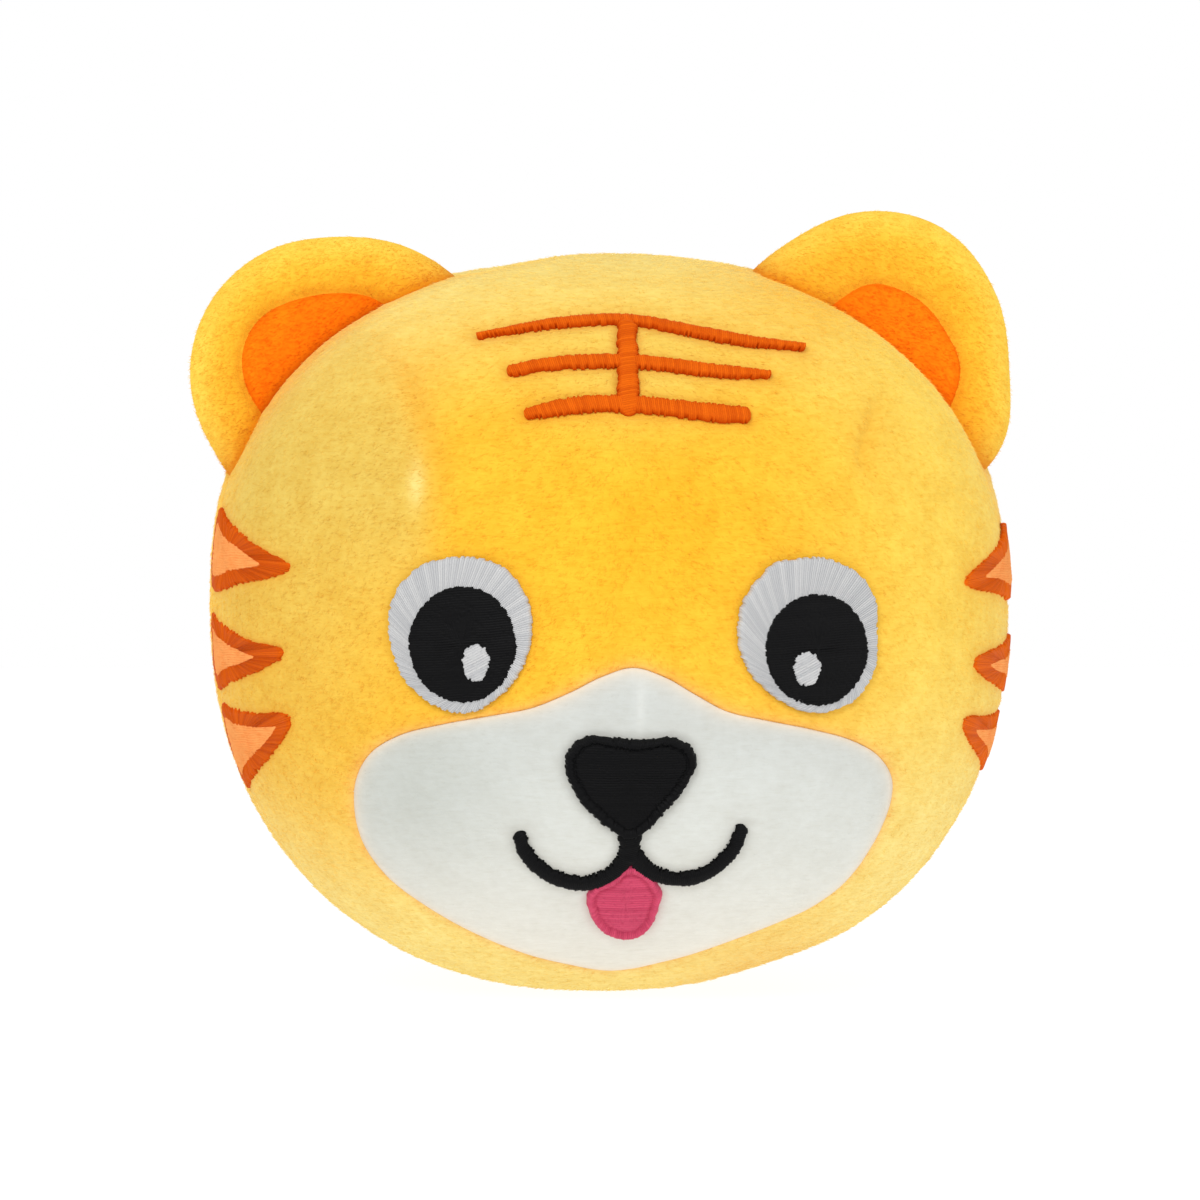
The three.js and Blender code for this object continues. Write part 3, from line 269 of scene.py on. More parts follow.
NOSE = loop([
    (-1, 40.7), (2.1, 40.8), (5.2, 40.9), (7.6, 39.6), (8.4, 37.4), (6.9, 34), (4, 30.1), (1, 27),
    (-0.8, 26.2), (-2.6, 26.9), (-5.9, 29.3), (-9, 33), (-10.5, 36.8), (-10, 39.3), (-7.5, 41.1),
    (-4.4, 41),
])
TONGUE = loop([
    (-0.7, 21.9), (-3.2, 20), (-5.9, 18.5), (-6.6, 17.2), (-6.2, 15), (-5, 12.7), (-3, 11), (-0.6, 10.3),
    (1.7, 10.8), (3.4, 12.8), (4.1, 15.4), (4.4, 17.3), (3.9, 18.5), (1.9, 20.9),
])
MUZZLE_MIDDLE = np.array([-0.8, 29.0])
MUZZLE = loop([
    (-0.8, 51.2), (4, 49.7), (8.4, 47.2), (13, 44.8), (19.5, 43.3), (26.4, 41.9), (32.6, 40.2), (37, 37.8),
    (39.5, 34.4), (39.6, 30.6), (37.4, 24.3), (33.6, 18.5), (28.2, 14.4), (22.5, 11.8), (15.2, 9), (7, 6.2),
    (-1.5, 4.4), (-9.1, 5.7), (-16.2, 7.8), (-23.9, 11.1), (-30.5, 15), (-36.2, 19.4), (-40, 25),
    (-41.2, 30.6), (-40.8, 34.8), (-38.8, 38.4), (-34.8, 41), (-28.8, 42.7), (-21.4, 44.1), (-15.5, 45.3),
    (-10, 47.6), (-5.4, 49.9),
], 1200)
MOUTH_HALVES = [1, 1, 1, 1.05, 1.35]
MOUTH = {
    "left": (
        [
            (-17.2, 27), (-15.9, 23.8), (-13, 20.9), (-9.9, 19.5), (-7.2, 19.2), (-4.4, 20), (-2.1, 21.8),
            (-0.7, 24.4),
        ],
        MOUTH_HALVES,
    ),
    "right": (
        [(15.9, 28), (15.1, 25), (12.6, 21.9), (9, 20), (5.8, 19.9), (3.2, 20.6), (1.3, 21.8), (-0.5, 24.2)],
        MOUTH_HALVES,
    ),
    "post": ([(-0.8, 27.6), (-0.8, 24.6), (-0.7, 21.8)], [2.1, 1.45, 1.6]),
}
FOREHEAD = {
    "top": (
        [
            (-22.8, 100.6), (-17.6, 101.5), (-12.5, 102.4), (-6.9, 103), (-1.7, 103.2), (2.8, 102.8),
            (7.3, 101.9), (13, 100.8), (18.7, 99.9), (26.9, 99.2),
        ],
        [0.25, 0.65, 0.72, 0.8, 0.4],
    ),
    "middle": (
        [
            (-18.6, 95), (-12.9, 96.1), (-7.8, 96.5), (-2.8, 96.6), (2.3, 96.4), (6.8, 95.9), (12.5, 95.2),
            (21, 94.7),
        ],
        [0.75, 0.85, 0.95, 1, 0.95, 0.95, 0.85, 0.4],
    ),
    "low": (
        [
            (-16.3, 88.5), (-13.1, 89.1), (-8.1, 89.9), (-3.1, 90.1), (1.9, 89.9), (6.4, 89.4),
            (12.1, 88.8), (17.5, 88.4),
        ],
        [0.7, 1.15, 1.2, 1.2, 1.2, 1.25, 1.3, 1.15],
    ),
    "post": ([(-0.3, 103.4), (-0.7, 95.7), (-0.9, 88.4)], [1.45, 1.55, 1.6]),
}
CHEEK_STRIPES = {
    "left": {
        "top": [
            (82, 15.6), (76, 14.2), (69.5, 12.5), (62.1, 10.1), (56.6, 8.5), (55.5, 7.8), (56.9, 7),
            (68, 5.6), (82, 5.6),
        ],
        "middle": [
            (82, 1), (77.4, 0), (72.4, -1), (65, -2.6), (60, -3.2), (57.3, -3.8), (57.4, -4.6),
            (60.3, -5.7), (65.5, -7), (74, -8.2), (82, -8.8),
        ],
        "bottom": [
            (82, -12.3), (74, -12.3), (66, -12.8), (58.5, -12.8), (57.2, -13.6), (58.3, -15), (61.2, -17),
            (65.6, -19.1), (70.5, -20.8), (76, -22.3), (82, -23.7),
        ],
    },
    "right": {
        "top": [
            (82, 13.6), (77, 12.5), (70.5, 10.8), (65.6, 9.4), (61, 7.9), (57.2, 6.3), (56.8, 5.7),
            (57.8, 5.2), (61.2, 4.7), (66.3, 4.4), (82, 4.5),
        ],
        "middle": [
            (82, -2.2), (76, -2.9), (70, -3.5), (64.5, -4.2), (60.8, -5), (60, -5.7), (61, -6.6),
            (64.5, -7.7), (70, -8.7), (76, -9.2), (82, -9.3),
        ],
        "bottom": [
            (82, -13.4), (74, -13.3), (66, -13.4), (60.7, -13.4), (59.3, -14), (60, -15.1), (62.4, -16.5),
            (66, -18), (70, -19.1), (76, -20.4), (82, -21.2),
        ],
    },
}
DARTS = [
    [(-36.4, 100.1), (-33.4, 94.8), (-31.6, 90.2), (-29.9, 84.7), (-27.9, 80.8)],
    [(38.6, 92.6), (36.2, 87.2), (34.6, 82.7), (36.4, 79)],
]
SIDES = {"left": -1, "right": 1}
# Reaches are radii every 30 degrees, of the ear and of the patch in it. Its heel is how far its root bulges
# forwards, and its tuck is how deep the head's cloth is drawn in before it.
EARS = {
    "left": {
        "x": -43.0, "height": 95.3, "patch": (-44.4, 96), "heel": 1.4, "tuck": 1.2,
        "reaches": [24.5, 25, 23.8, 22.7, 23.3, 23.6, 23.3, 22.5, 23.4, 23.5, 24, 24.3],
        "patch_reaches": [13.7, 13.7, 13.6, 12.5, 13, 13.9, 13.3, 11.8, 11, 12, 13, 13.7],
    },
    "right": {
        "x": 39.6, "height": 97.9, "patch": (40.5, 96.5), "heel": 3.2, "tuck": 2.8,
        "reaches": [23.3, 24.2, 25.4, 24.6, 23.1, 23.6, 24.2, 24.2, 24.2, 24.2, 24.8, 25.4],
        "patch_reaches": [13.7, 13.5, 13.8, 13.9, 12.4, 12.5, 13, 13, 13, 13, 12.5, 12.9],
    },
}


def cheek_outline(level, name, count=240):
    """The outline of a cheek stripe. Its knots are degrees round the head and up it."""
    knots = np.radians(CHEEK_STRIPES[name][level]) * MEAN_RADIUS * [SIDES[name], 1]
    return anticlockwise(evenly(spline(knots, True, 12), count))


def stitched_outlines():
    """Every stitched shape on the cover, with the chart that it is drawn in and how firmly it is sewn."""
    for eye in EYES.values():
        yield facing, loop(eye["white"], 60), 1
    yield facing, NOSE[::4], 1
    yield facing, TONGUE[::4], 1
    for knots, halves in [*MOUTH.values(), *FOREHEAD.values()]:
        yield facing, band_outline(knots, halves, 30), 1
    for name, levels in CHEEK_STRIPES.items():
        for level in levels:
            yield bearing, cheek_outline(level, name, 60), 0.35


# Meshes
def shell_faces(rings, count, poles=True):
    """Quads between neighbouring rings of count points, and fans of triangles.

    With poles, the two points that follow the rings close the first ring and the last. Without, the last
    ring joins the first."""
    here = (np.arange(rings - 1 if poles else rings) * count)[:, None]
    there = (here + count) % (rings * count)
    i = np.arange(count)
    j = (i + 1) % count
    quads = np.stack([here + i, here + j, there + j, there + i], -1).reshape(-1, 4)
    if not poles:
        return quads, np.zeros((0, 3), int)
    pole, last = rings * count, (rings - 1) * count
    first_fan = np.stack([j, i, np.full(count, pole)], 1)
    last_fan = np.stack([np.full(count, pole + 1), last + i, last + j], 1)
    return quads, np.concatenate([first_fan, last_fan])


def make_piece(name, points, faces, slot, replaced=(), fields=None, smooth=True):
    """A closed mesh of points in mm on the cover, turned so that its faces point outwards.

    Faces are quads and fans of triangles, and each field becomes an attribute of the points."""
    quads, fans = faces
    flat = np.concatenate([quads[:, [0, 1, 2]], quads[:, [0, 2, 3]], fans])
    a, b, c = (points[flat[:, k]] for k in range(3))
    if (a * np.cross(b, c)).sum() < 0:
        quads, fans = quads[:, ::-1], fans[:, ::-1]
    corners = np.concatenate([quads.ravel(), fans.ravel()])
    starts = np.concatenate([np.arange(len(quads)) * 4, len(quads) * 4 + np.arange(len(fans)) * 3])
    mesh = bpy.data.meshes.new(name)
    mesh.vertices.add(len(points))
    mesh.vertices.foreach_set("co", set_down(points).astype(np.float32).ravel())
    mesh.loops.add(len(corners))
    mesh.loops.foreach_set("vertex_index", corners.astype(np.int32))
    mesh.polygons.add(len(starts))
    mesh.polygons.foreach_set("loop_start", starts.astype(np.int32))
    mesh.polygons.foreach_set("use_smooth", np.full(len(starts), smooth))
    mesh.update(calc_edges=True)
    for field, values in (fields or {}).items():
        kind, key = ("FLOAT_VECTOR", "vector") if np.ndim(values) == 2 else ("FLOAT", "value")
        attribute = mesh.attributes.new(field, kind, "POINT")
        attribute.data.foreach_set(key, np.asarray(values, np.float32).ravel())
    mesh.materials.append(FINISHES[slot])
    piece = bpy.data.objects.new(name, mesh)
    bpy.context.scene.collection.objects.link(piece)
    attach(piece, "cover")
    if replaced:
        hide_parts(*replaced)
    return piece


# Finishes
def linear(code):
    """sRGB hex to the linear colour that a shader takes."""
    value = np.array([int(code[k : k + 2], 16) / 255 for k in (1, 3, 5)])
    value = np.where(value <= 0.04045, value / 12.92, ((value + 0.055) / 1.055) ** 2.4)
    return (*value.tolist(), 1.0)


def add(tree, kind, links=None, out=0, **settings):
    """Adds a node and gives its output out, or the node itself where out is None.

    Settings are set on it, and links gives each socket a value, or another node's socket."""
    made = tree.nodes.new(kind)
    for key, value in settings.items():
        setattr(made, key, value)
    for key, value in (links or {}).items():
        if isinstance(value, bpy.types.NodeSocket):
            tree.links.new(value, made.inputs[key])
        else:
            made.inputs[key].default_value = value
    return made if out is None else made.outputs[out]


def new_finish(name, **sockets):
    """A material of one Principled shader with constant sockets set on it."""
    finish = bpy.data.materials.new(name)
    finish.use_nodes = True
    tree = finish.node_tree
    shader = tree.nodes["Principled BSDF"]
    for key, value in sockets.items():
        shader.inputs[key.replace("_", " ")].default_value = value
    return finish, tree, shader


TUFT_DEPTH = 0.0004  # metres, how far tufts stand up in a bump
GRAIN_DEPTH = 0.0001  # the same of a thread's twist and of a moulded grain


def plush(name, root, tip, parting, relief=0.5, sheen=0.35, bloom="#FFF0B0"):
    """Short polyester pile: soft tufts about 1.5 mm across, brushed into level lines 0.6 mm apart, with
    fine dashes 2 mm long where the pile parts. Its colour is deeper at the roots and in the partings and
    lighter at the tips, by the tints, and is multiplied by the colour given to each point, which on the cover
    carries painted light and shade. Fibre tips seen edge on have a pale bloom."""
    finish, tree, shader = new_finish(
        name, Roughness=0.95, Sheen_Weight=sheen, Sheen_Roughness=0.4, Sheen_Tint=linear(bloom),
        Specular_IOR_Level=0.05,
    )
    nap = add(tree, "ShaderNodeAttribute", out="Vector", attribute_name="nap")
    # The colour of each point: the cloth's own colour with painted light and shade over it on the cover
    dye = add(tree, "ShaderNodeAttribute", out="Vector", attribute_name="dye")
    streak_at = add(tree, "ShaderNodeMapping", {"Vector": nap, "Scale": (0.38, 0.38, 1.7)})
    streaks = {"Vector": streak_at, "Scale": 1.0, "Detail": 3.0, "Roughness": 0.6}
    streak = add(tree, "ShaderNodeTexNoise", streaks)
    tuft = add(tree, "ShaderNodeTexNoise", {"Vector": nap, "Scale": 0.75, "Detail": 3.0, "Roughness": 0.55})
    patch = add(tree, "ShaderNodeTexNoise", {"Vector": nap, "Scale": 0.16, "Detail": 2.0})
    height = add(tree, "ShaderNodeMath", {0: streak, 1: tuft}, operation="ADD")
    cloudy = add(tree, "ShaderNodeMath", {0: patch, 1: height}, operation="ADD")
    share = add(tree, "ShaderNodeMapRange", {0: cloudy, 1: 1.1, 2: 1.9, 3: 0.0, 4: 1.0})
    tints = {0: share, 6: linear(root), 7: linear(tip)}
    tint = add(tree, "ShaderNodeMix", tints, out=2, data_type="RGBA")
    dyed_tint = {0: 1.0, 6: dye, 7: tint}
    colour = add(tree, "ShaderNodeMix", dyed_tint, out=2, data_type="RGBA", blend_type="MULTIPLY")
    hair_at = add(tree, "ShaderNodeMapping", {"Vector": nap, "Scale": (0.55, 0.55, 3.6)})
    hair = add(tree, "ShaderNodeTexNoise", {"Vector": hair_at, "Scale": 1.0, "Detail": 1.0})
    parted = add(tree, "ShaderNodeMapRange", {0: hair, 1: 0.58, 2: 0.72, 3: 0.0, 4: 0.35})
    darker = {0: 1.0, 6: colour, 7: linear(parting)}
    dark = add(tree, "ShaderNodeMix", darker, out=2, data_type="RGBA", blend_type="MULTIPLY")
    colour = add(tree, "ShaderNodeMix", {0: parted, 6: colour, 7: dark}, out=2, data_type="RGBA")
    bump = add(tree, "ShaderNodeBump", {"Strength": relief, "Distance": TUFT_DEPTH, "Height": height})
    tree.links.new(colour, shader.inputs["Base Color"])
    tree.links.new(bump, shader.inputs["Normal"])
    return finish


def thread(name, light, dark, roughness=0.5, relief=0.25, shine=0.12):
    """Rayon embroidery thread, a bright twisted yarn: each laid thread takes a slightly different tone, and
    its twist shows as fine slanting ribs."""
    finish, tree, shader = new_finish(name, Roughness=roughness, Specular_IOR_Level=shine)
    tone = add(tree, "ShaderNodeAttribute", out="Fac", attribute_name="tone")
    place = add(tree, "ShaderNodeTexCoord", out="Object")
    twist = add(tree, "ShaderNodeTexNoise", {"Vector": place, "Scale": 4200.0, "Detail": 2.0})
    fuzz = add(tree, "ShaderNodeMath", {0: twist, 1: 0.35}, operation="MULTIPLY_ADD")
    share = add(tree, "ShaderNodeMath", {0: tone, 1: fuzz}, operation="MULTIPLY", use_clamp=True)
    tones = {0: share, 6: linear(dark), 7: linear(light)}
    colour = add(tree, "ShaderNodeMix", tones, out=2, data_type="RGBA")
    bump = add(tree, "ShaderNodeBump", {"Strength": relief, "Distance": GRAIN_DEPTH, "Height": twist})
    tree.links.new(colour, shader.inputs["Base Color"])
    tree.links.new(bump, shader.inputs["Normal"])
    return finish


def woven(name, light, dark, pitch=0.0006):
    """Plain woven polyester: fine warp and weft ribs, pitch apart, crossing at right angles."""
    finish, tree, shader = new_finish(name, Roughness=0.85, Sheen_Weight=0.2, Specular_IOR_Level=0.2)
    place = add(tree, "ShaderNodeTexCoord", out="Object")
    turned = add(tree, "ShaderNodeMapping", {"Vector": place, "Rotation": (0.6, 0.6, 0.8)})
    wave = {"Vector": turned, "Scale": 0.314 / pitch, "Distortion": 0.4}
    warp, weft = (add(tree, "ShaderNodeTexWave", wave, out=1, bands_direction=way) for way in ("X", "Z"))
    height = add(tree, "ShaderNodeMath", {0: warp, 1: weft}, operation="MULTIPLY")
    tones = {0: height, 6: linear(dark), 7: linear(light)}
    colour = add(tree, "ShaderNodeMix", tones, out=2, data_type="RGBA")
    bump = add(tree, "ShaderNodeBump", {"Strength": 0.5, "Distance": pitch / 4, "Height": height})
    tree.links.new(colour, shader.inputs["Base Color"])
    tree.links.new(bump, shader.inputs["Normal"])
    return finish


def moulded(name, light, dark, roughness, grain=0.0009, relief=0.12, **sockets):
    """Moulded, cast or rolled stock: a fine spark or grain texture in the surface, with a little cloudiness
    in tone and polish."""
    finish, tree, shader = new_finish(name, **sockets)
    place = add(tree, "ShaderNodeTexCoord", out="Object")
    fine = add(tree, "ShaderNodeTexNoise", {"Vector": place, "Scale": 1 / grain, "Detail": 3.0})
    broad = add(tree, "ShaderNodeTexNoise", {"Vector": place, "Scale": 60.0, "Detail": 2.0})
    tones = {0: broad, 6: linear(dark), 7: linear(light)}
    colour = add(tree, "ShaderNodeMix", tones, out=2, data_type="RGBA")
    polish = {0: broad, 1: 0.3, 2: 0.7, 3: roughness - 0.06, 4: roughness + 0.06}
    tree.links.new(add(tree, "ShaderNodeMapRange", polish), shader.inputs["Roughness"])
    bump = add(tree, "ShaderNodeBump", {"Strength": relief, "Distance": GRAIN_DEPTH, "Height": fine})
    tree.links.new(colour, shader.inputs["Base Color"])
    tree.links.new(bump, shader.inputs["Normal"])
    return finish


FINISHES = {
    # Brushed pile on a knitted ground: no gloss, deeper in colour where it parts
    "yellow_plush": plush("yellow short-pile plush", "#F4E8D0", "#FFFFFF", "#F0D8AC"),
    "white_plush": plush("white short-pile plush", "#F6F5F3", "#FFFFFF", "#F6F4F0", 0.15, 0.15, "#FFFFFF"),
    "orange_plush": plush("orange short-pile plush", "#FAE2D0", "#FFFFFF", "#F4D4C0", 0.35, 0.12, "#FFC080"),
    # Twisted filament yarn: a soft gleam, broken up along the twist, and shadow between the threads
    "stripe_thread": thread("orange rayon thread", "#FF7A12", "#B43600", shine=0.03),
    "white_thread": thread("white rayon thread", "#DDDCDA", "#A2A4A8", shine=0.15),
    "black_thread": thread("black rayon thread", "#101011", "#030304", 0.5, shine=0.08),
    "pink_thread": thread("pink rayon thread", "#EE5C7E", "#A8284A"),
    # Crimped loose fibre: white, cloudy and dull
    "stuffing": plush("polyester fibre filling", "#EDEDE8", "#FFFFFF", "#E8E8E4", 0.8, 0.3, "#FFFFFF"),
    # Plain weave: dull, with fine even ribs
    "lining_cloth": woven("pocket lining cloth", "#E0AA46", "#B98428"),
    "zip_cloth": woven("woven zip tape", "#F5BC38", "#D89A1C", 0.0008),
    # Plate tumbled smooth: a bright grey with soft glints
    "zip_metal": moulded("nickel-plated brass", "#B4B6BA", "#93969C", 0.3, Metallic=1.0),
    # Moulded against finely sparked steel: an even, low gloss. Acetal is creamier and a little waxy
    "white_plastic": moulded("white moulded ABS", "#F1F2F3", "#E6E8EA", 0.42),
    "gear_plastic": moulded("natural acetal", "#F0EBDD", "#E3DCCB", 0.38),
    "dark_plastic": moulded("black moulded ABS", "#2A2C30", "#1C1E21", 0.45),
    # Rolled and drawn stock under zinc plate: bright, with a cool cast
    "steel": moulded("bright zinc-plated steel", "#B4B7BC", "#94979C", 0.3, Metallic=1.0),
    # As it left the die: a dull grey with a rough grain
    "zinc_casting": moulded("raw zinc die casting", "#97999D", "#7D8085", 0.5, 0.0005, 0.3, Metallic=1.0),
    # Smooth film and cured lacquer: plain colours with a gloss
    "cell_wrap": moulded("printed film wrap", "#34795A", "#2A6449", 0.3),
    "board": moulded("green solder mask", "#23763F", "#1A5B30", 0.35),
}


# Sewn cover
def slerp(near, far, share):
    """Directions on the great arcs from the near loop to the far loop, one ring for each share of the way,
    and the arcs' angles."""
    near = np.broadcast_to(near, far.shape)
    angle = np.arccos(np.clip((near * far).sum(-1), -1, 1))
    rest, done = np.sin((1 - share[:, None]) * angle), np.sin(share[:, None] * angle)
    return unit(rest[..., None] * near + done[..., None] * far), angle


def nap_of(points):
    """Where a point lies in the brushed pile: its place to the side and back, and its height measured along
    a globe, all in mm."""
    return np.stack([points[:, 0], points[:, 1], np.arcsin(unit(points)[:, 2]) * MEAN_RADIUS], 1)


PRESS_SPREAD = 0.9  # how far from stitching the pile is pressed
NEAR_FADE, NEAR_LIMIT = 1.1, 5  # how far its shade reaches


def press_depth(points):
    """How far stitching presses the pile flat, how far it pulls the cloth in, and how close it is: full
    inside each stitched shape, fading over a millimetre outside it."""
    press, pull, close = np.zeros((3, len(points)))
    ways = unit(points)
    turn = np.arctan2(ways[:, 0], -ways[:, 1]) * MEAN_RADIUS
    charts = {
        facing: points[:, [0, 2]] + [0, POCKET[2]],
        bearing: np.stack([turn, np.arcsin(ways[:, 2]) * MEAN_RADIUS], 1),
    }
    front = points[:, 1] < 0
    for chart, outline, hold in stitched_outlines():
        distance = np.full(len(points), EDGE_REACH)
        distance[front] = edge_distance(charts[chart][front], outline)
        outside = np.maximum(distance, 0)
        fade = bell(outside, 0, PRESS_SPREAD)
        press, pull = np.maximum(press, fade), np.maximum(pull, hold * fade)
        # close marks where the face's colour gets painted shade round the stitching
        close = np.maximum(close, np.exp(-outside / NEAR_FADE) * (outside < NEAR_LIMIT))
    return press, pull, close


DART_POINTS = 30  # on a dart's line


def dart_crease(points):
    """Valleys of the two short darts on the forehead, deepest at the top and fading at their lower ends."""
    crease, near = np.zeros(len(points)), np.zeros(len(points))
    spots = points[:, [0, 2]] + [0, POCKET[2]]
    front = np.nonzero((points[:, 1] < 0) & (spots[:, 1] > 68))[0]
    for knots in DARTS:
        line = evenly(spline(knots, False), DART_POINTS, False)
        gap = np.linalg.norm(spots[front][:, None] - line, axis=-1)
        at = gap.argmin(1) / (DART_POINTS - 1)
        gap = gap.min(1)
        fade = np.sin(np.clip(at * 1.6 + 0.15, 0, 1) * math.pi / 2) * (1 - 0.6 * at**3)
        crease[front] = np.maximum(crease[front], fade * bell(gap, 0, 1.3))
        # near marks where the face's colour gets painted shade along the dart
        near[front] = np.maximum(near[front], fade * np.exp(-gap / 2.0))
    return crease, near


def pile(points, fineness=1.0):
    """Height of the pile in mm: soft padding lumps 15 mm across, tufts 2.6 mm and 1.3 mm across that lie
    longer along the nap."""
    nap = nap_of(points)
    lean = nap * [0.6, 0.6, 1.3]
    return 0.16 * lumps(nap, 15, 3) + fineness * (0.06 * lumps(lean, 2.6, 5) + 0.045 * lumps(lean, 1.3, 7))


def tinted(colour, *zones):
    """Linear colours with zones blended over them, each a colour and its shares."""
    for code, share in zones:
        colour += (np.array(linear(code)[:3]) - colour) * np.clip(share, 0, 1)[:, None]
    return colour


def dyed(count, base, *zones):
    """Linear colour of the pile at each point: a base colour with zones blended over it."""
    return tinted(np.tile(linear(base)[:3], (count, 1)), *zones)


FIBRE_HALF_WIDTH, FIBRE_THICK, FIBRE_ROOT = 0.055, 0.08, 0.1  # a loose tip, and how deep it is rooted


def pile_fibres(name, grid, dye, free, slot, count, length, seed, middle=(0, 0, 0)):
    """Loose tips of the pile, brushed outwards and a little down.

    Each is a spike with three sides, rooted at random on a grid of rings over the cloth and leaning away
    from its middle, thinned out where little of the cloth is free. It takes the colour at its root, painted
    light and shade included, a little lighter or darker."""
    count = count
    rng = np.random.default_rng(seed)
    across = (np.roll(grid, -1, 1) - grid)[:-1].reshape(-1, 3)
    down = (grid[1:] - grid[:-1]).reshape(-1, 3)
    normal = np.cross(across, down)
    weight = np.linalg.norm(normal, axis=1) * np.clip(free[: len(normal)], 0, 1)
    chosen = rng.choice(len(weight), count, p=weight / weight.sum())
    share = rng.random((2, count, 1))
    root = grid[:-1].reshape(-1, 3)[chosen] + across[chosen] * share[0] + down[chosen] * share[1]
    out = unit(normal[chosen])
    out = out * np.sign((out * (root - middle)).sum(1, keepdims=True))
    swept = np.stack([np.tanh(root[:, 0] / 12), np.zeros(count), np.full(count, -0.35)], 1)
    swept = swept + 0.3 * rng.standard_normal((count, 3))
    swept = unit(swept - out * (swept * out).sum(1, keepdims=True))
    lean = rng.uniform(0.05, 0.35, (count, 1))
    tip = root + length * rng.uniform(0.6, 1.2, (count, 1)) * (swept * np.cos(lean) + out * np.sin(lean))
    side = np.cross(out, swept) * FIBRE_HALF_WIDTH
    foot = root - FIBRE_ROOT * out
    points = np.stack([foot + side, foot - side, foot + FIBRE_THICK * out, tip], 1).reshape(-1, 3)
    points[:, 2] = np.maximum(points[:, 2], -POCKET[2])
    first = (np.arange(count) * 4)[:, None, None]
    faces = (np.array([[0, 1, 3], [1, 2, 3], [2, 0, 3], [0, 2, 1]]) + first).reshape(-1, 3)
    tone = dye[chosen] * rng.uniform(0.97, 1.09, (count, 1))
    fields = {"nap": np.repeat(nap_of(root), 4, 0), "dye": np.repeat(tone, 4, 0)}
    make_piece(name, points, (np.zeros((0, 4), int), faces), slot, fields=fields, smooth=False)


SEAM_FADE, SEAM_SHADE_FADE = 1.2, 0.9  # how fast a seam's dip and its painted shade fade
UNDER_RINGS = 9  # on the cloth's underside


def sewn_cloth(name, near, far, rings, inset, seams, seam_dye, dress, slot, replaced, fibres, length, seed):
    """A closed layer of cloth between two loops of directions, with the loose tips of its pile.

    Rings of points run over the head from the near loop to the far loop and return underneath, at the
    inset. Each loop is a seam: the cloth dips there by the given depth, steeply at the stitches and rounding
    over within 3 mm, and is painted towards the seam's colour there, a painted shade in its valley; the
    underside takes that colour. Where near is one direction, both sides end in a pole. dress gives the pile's
    height, its colour with painted light and shade, and how free it is of stitching."""
    pole = np.ndim(near) == 1
    share = np.linspace(0, 1, rings)[int(pole):]
    ways, angle = slerp(near, far, share)
    to_near, to_far = (step[:, None] * angle * MEAN_RADIUS for step in (share, 1 - share))
    valley = seams[0] * np.exp(-to_near / SEAM_FADE) + seams[1] * np.exp(-to_far / SEAM_FADE)
    seam_shade = np.exp(-to_near / SEAM_SHADE_FADE) * bool(seams[0]) + np.exp(-to_far / SEAM_SHADE_FADE) * bool(seams[1])
    back, _ = slerp(near, far, np.linspace(1, 0, UNDER_RINGS)[: UNDER_RINGS - int(pole)])
    over, under = ways.reshape(-1, 3), back.reshape(-1, 3)
    top = over * head_radius(over)[:, None]
    lift, colour, free = dress(top)
    depth = head_radius(under, inset) - dents(under * MEAN_RADIUS)
    points = [top + over * (lift - valley.ravel())[:, None], under * depth[:, None]]
    points[0][:, 2] = np.maximum(points[0][:, 2], -POCKET[2])
    # Painted shade in the seams' valleys, and the same colour underneath
    tinted(colour, (seam_dye, 0.7 * seam_shade.ravel()))
    grid, colours = points[0].reshape(-1, len(far), 3), [colour, dyed(len(under), seam_dye)]
    faces = shell_faces((len(over) + len(under)) // len(far), len(far), pole)
    if pole:
        middle = near[None] * head_radius(near[None])[0]
        end_lift, end_colour, _ = dress(middle)
        points += [middle + near * end_lift[0], near[None] * head_radius(near[None], inset)[0]]
        colours += [end_colour, dyed(1, seam_dye)]
    points = np.concatenate(points)
    fields = {"nap": nap_of(points), "dye": np.concatenate(colours)}
    piece = make_piece(name, points, faces, slot, replaced=replaced, fields=fields)
    pile_fibres(f"{name}_pile", grid, colour, free, slot, fibres, length, seed)


def seam_loop(turns, y):
    """The side seam: where an upright plane across the head, y from the middle, cuts the cloth, at each
    turn round the face."""
    radius = np.full(len(turns), MEAN_RADIUS)
    for _ in range(4):
        out = np.sqrt(radius**2 - y**2)
        way = unit(np.stack([np.cos(turns) * out, np.full(len(turns), y), np.sin(turns) * out], 1))
        radius = head_radius(way)
    return way


def dents(points):
    """Hollows in the stuffing: where the left ear's root pulls the crown in, under the right of the chin,
    and along the front of each ear's root."""
    root = np.linalg.norm(points - [-18, -6, 55], axis=1)
    chin = np.linalg.norm((points - [23, -14, -54]) * [1, 0.5, 1], axis=1)
    depth = 1.3 * bell(root, 0, 8) + 1.2 * bell(chin, 0, 13)
    turn = np.degrees(np.arctan2(points[:, 2], points[:, 0]))
    for ear in EARS.values():
        middle = math.degrees(math.atan2(ear["height"] - POCKET[2], ear["x"]))
        depth += ear["tuck"] * bell(turn, middle - 5, 24) * bell(points[:, 1], -13, 6)
    return depth


def cloth_dye(points):
    """Colour of the yellow cloth all round: golden, with painted light that makes it lemon on the crown,
    underneath and towards the sides, less so towards the left of the face."""
    x, height = points[:, 0], points[:, 2] + POCKET[2]
    # rim and warm shape the painted sheen towards the sides, which is weaker on the left of the face
    rim = np.clip(np.hypot(x / 64, (height - POCKET[2]) / 58.5) / 0.4 - 1.5, 0, 1) ** 1.5
    warm = 1 / (1 + np.exp((x + 22) / 8)) * bell(height, 62, 38)
    return dyed(
        len(points), "#FDC93C",
        ("#F8D864", bell(height, 112, 15) * 0.75),
        ("#FFE890", bell(height, 4, 18) * 0.95),
        ("#FFEC98", rim * (0.8 - 0.62 * warm)),
    )


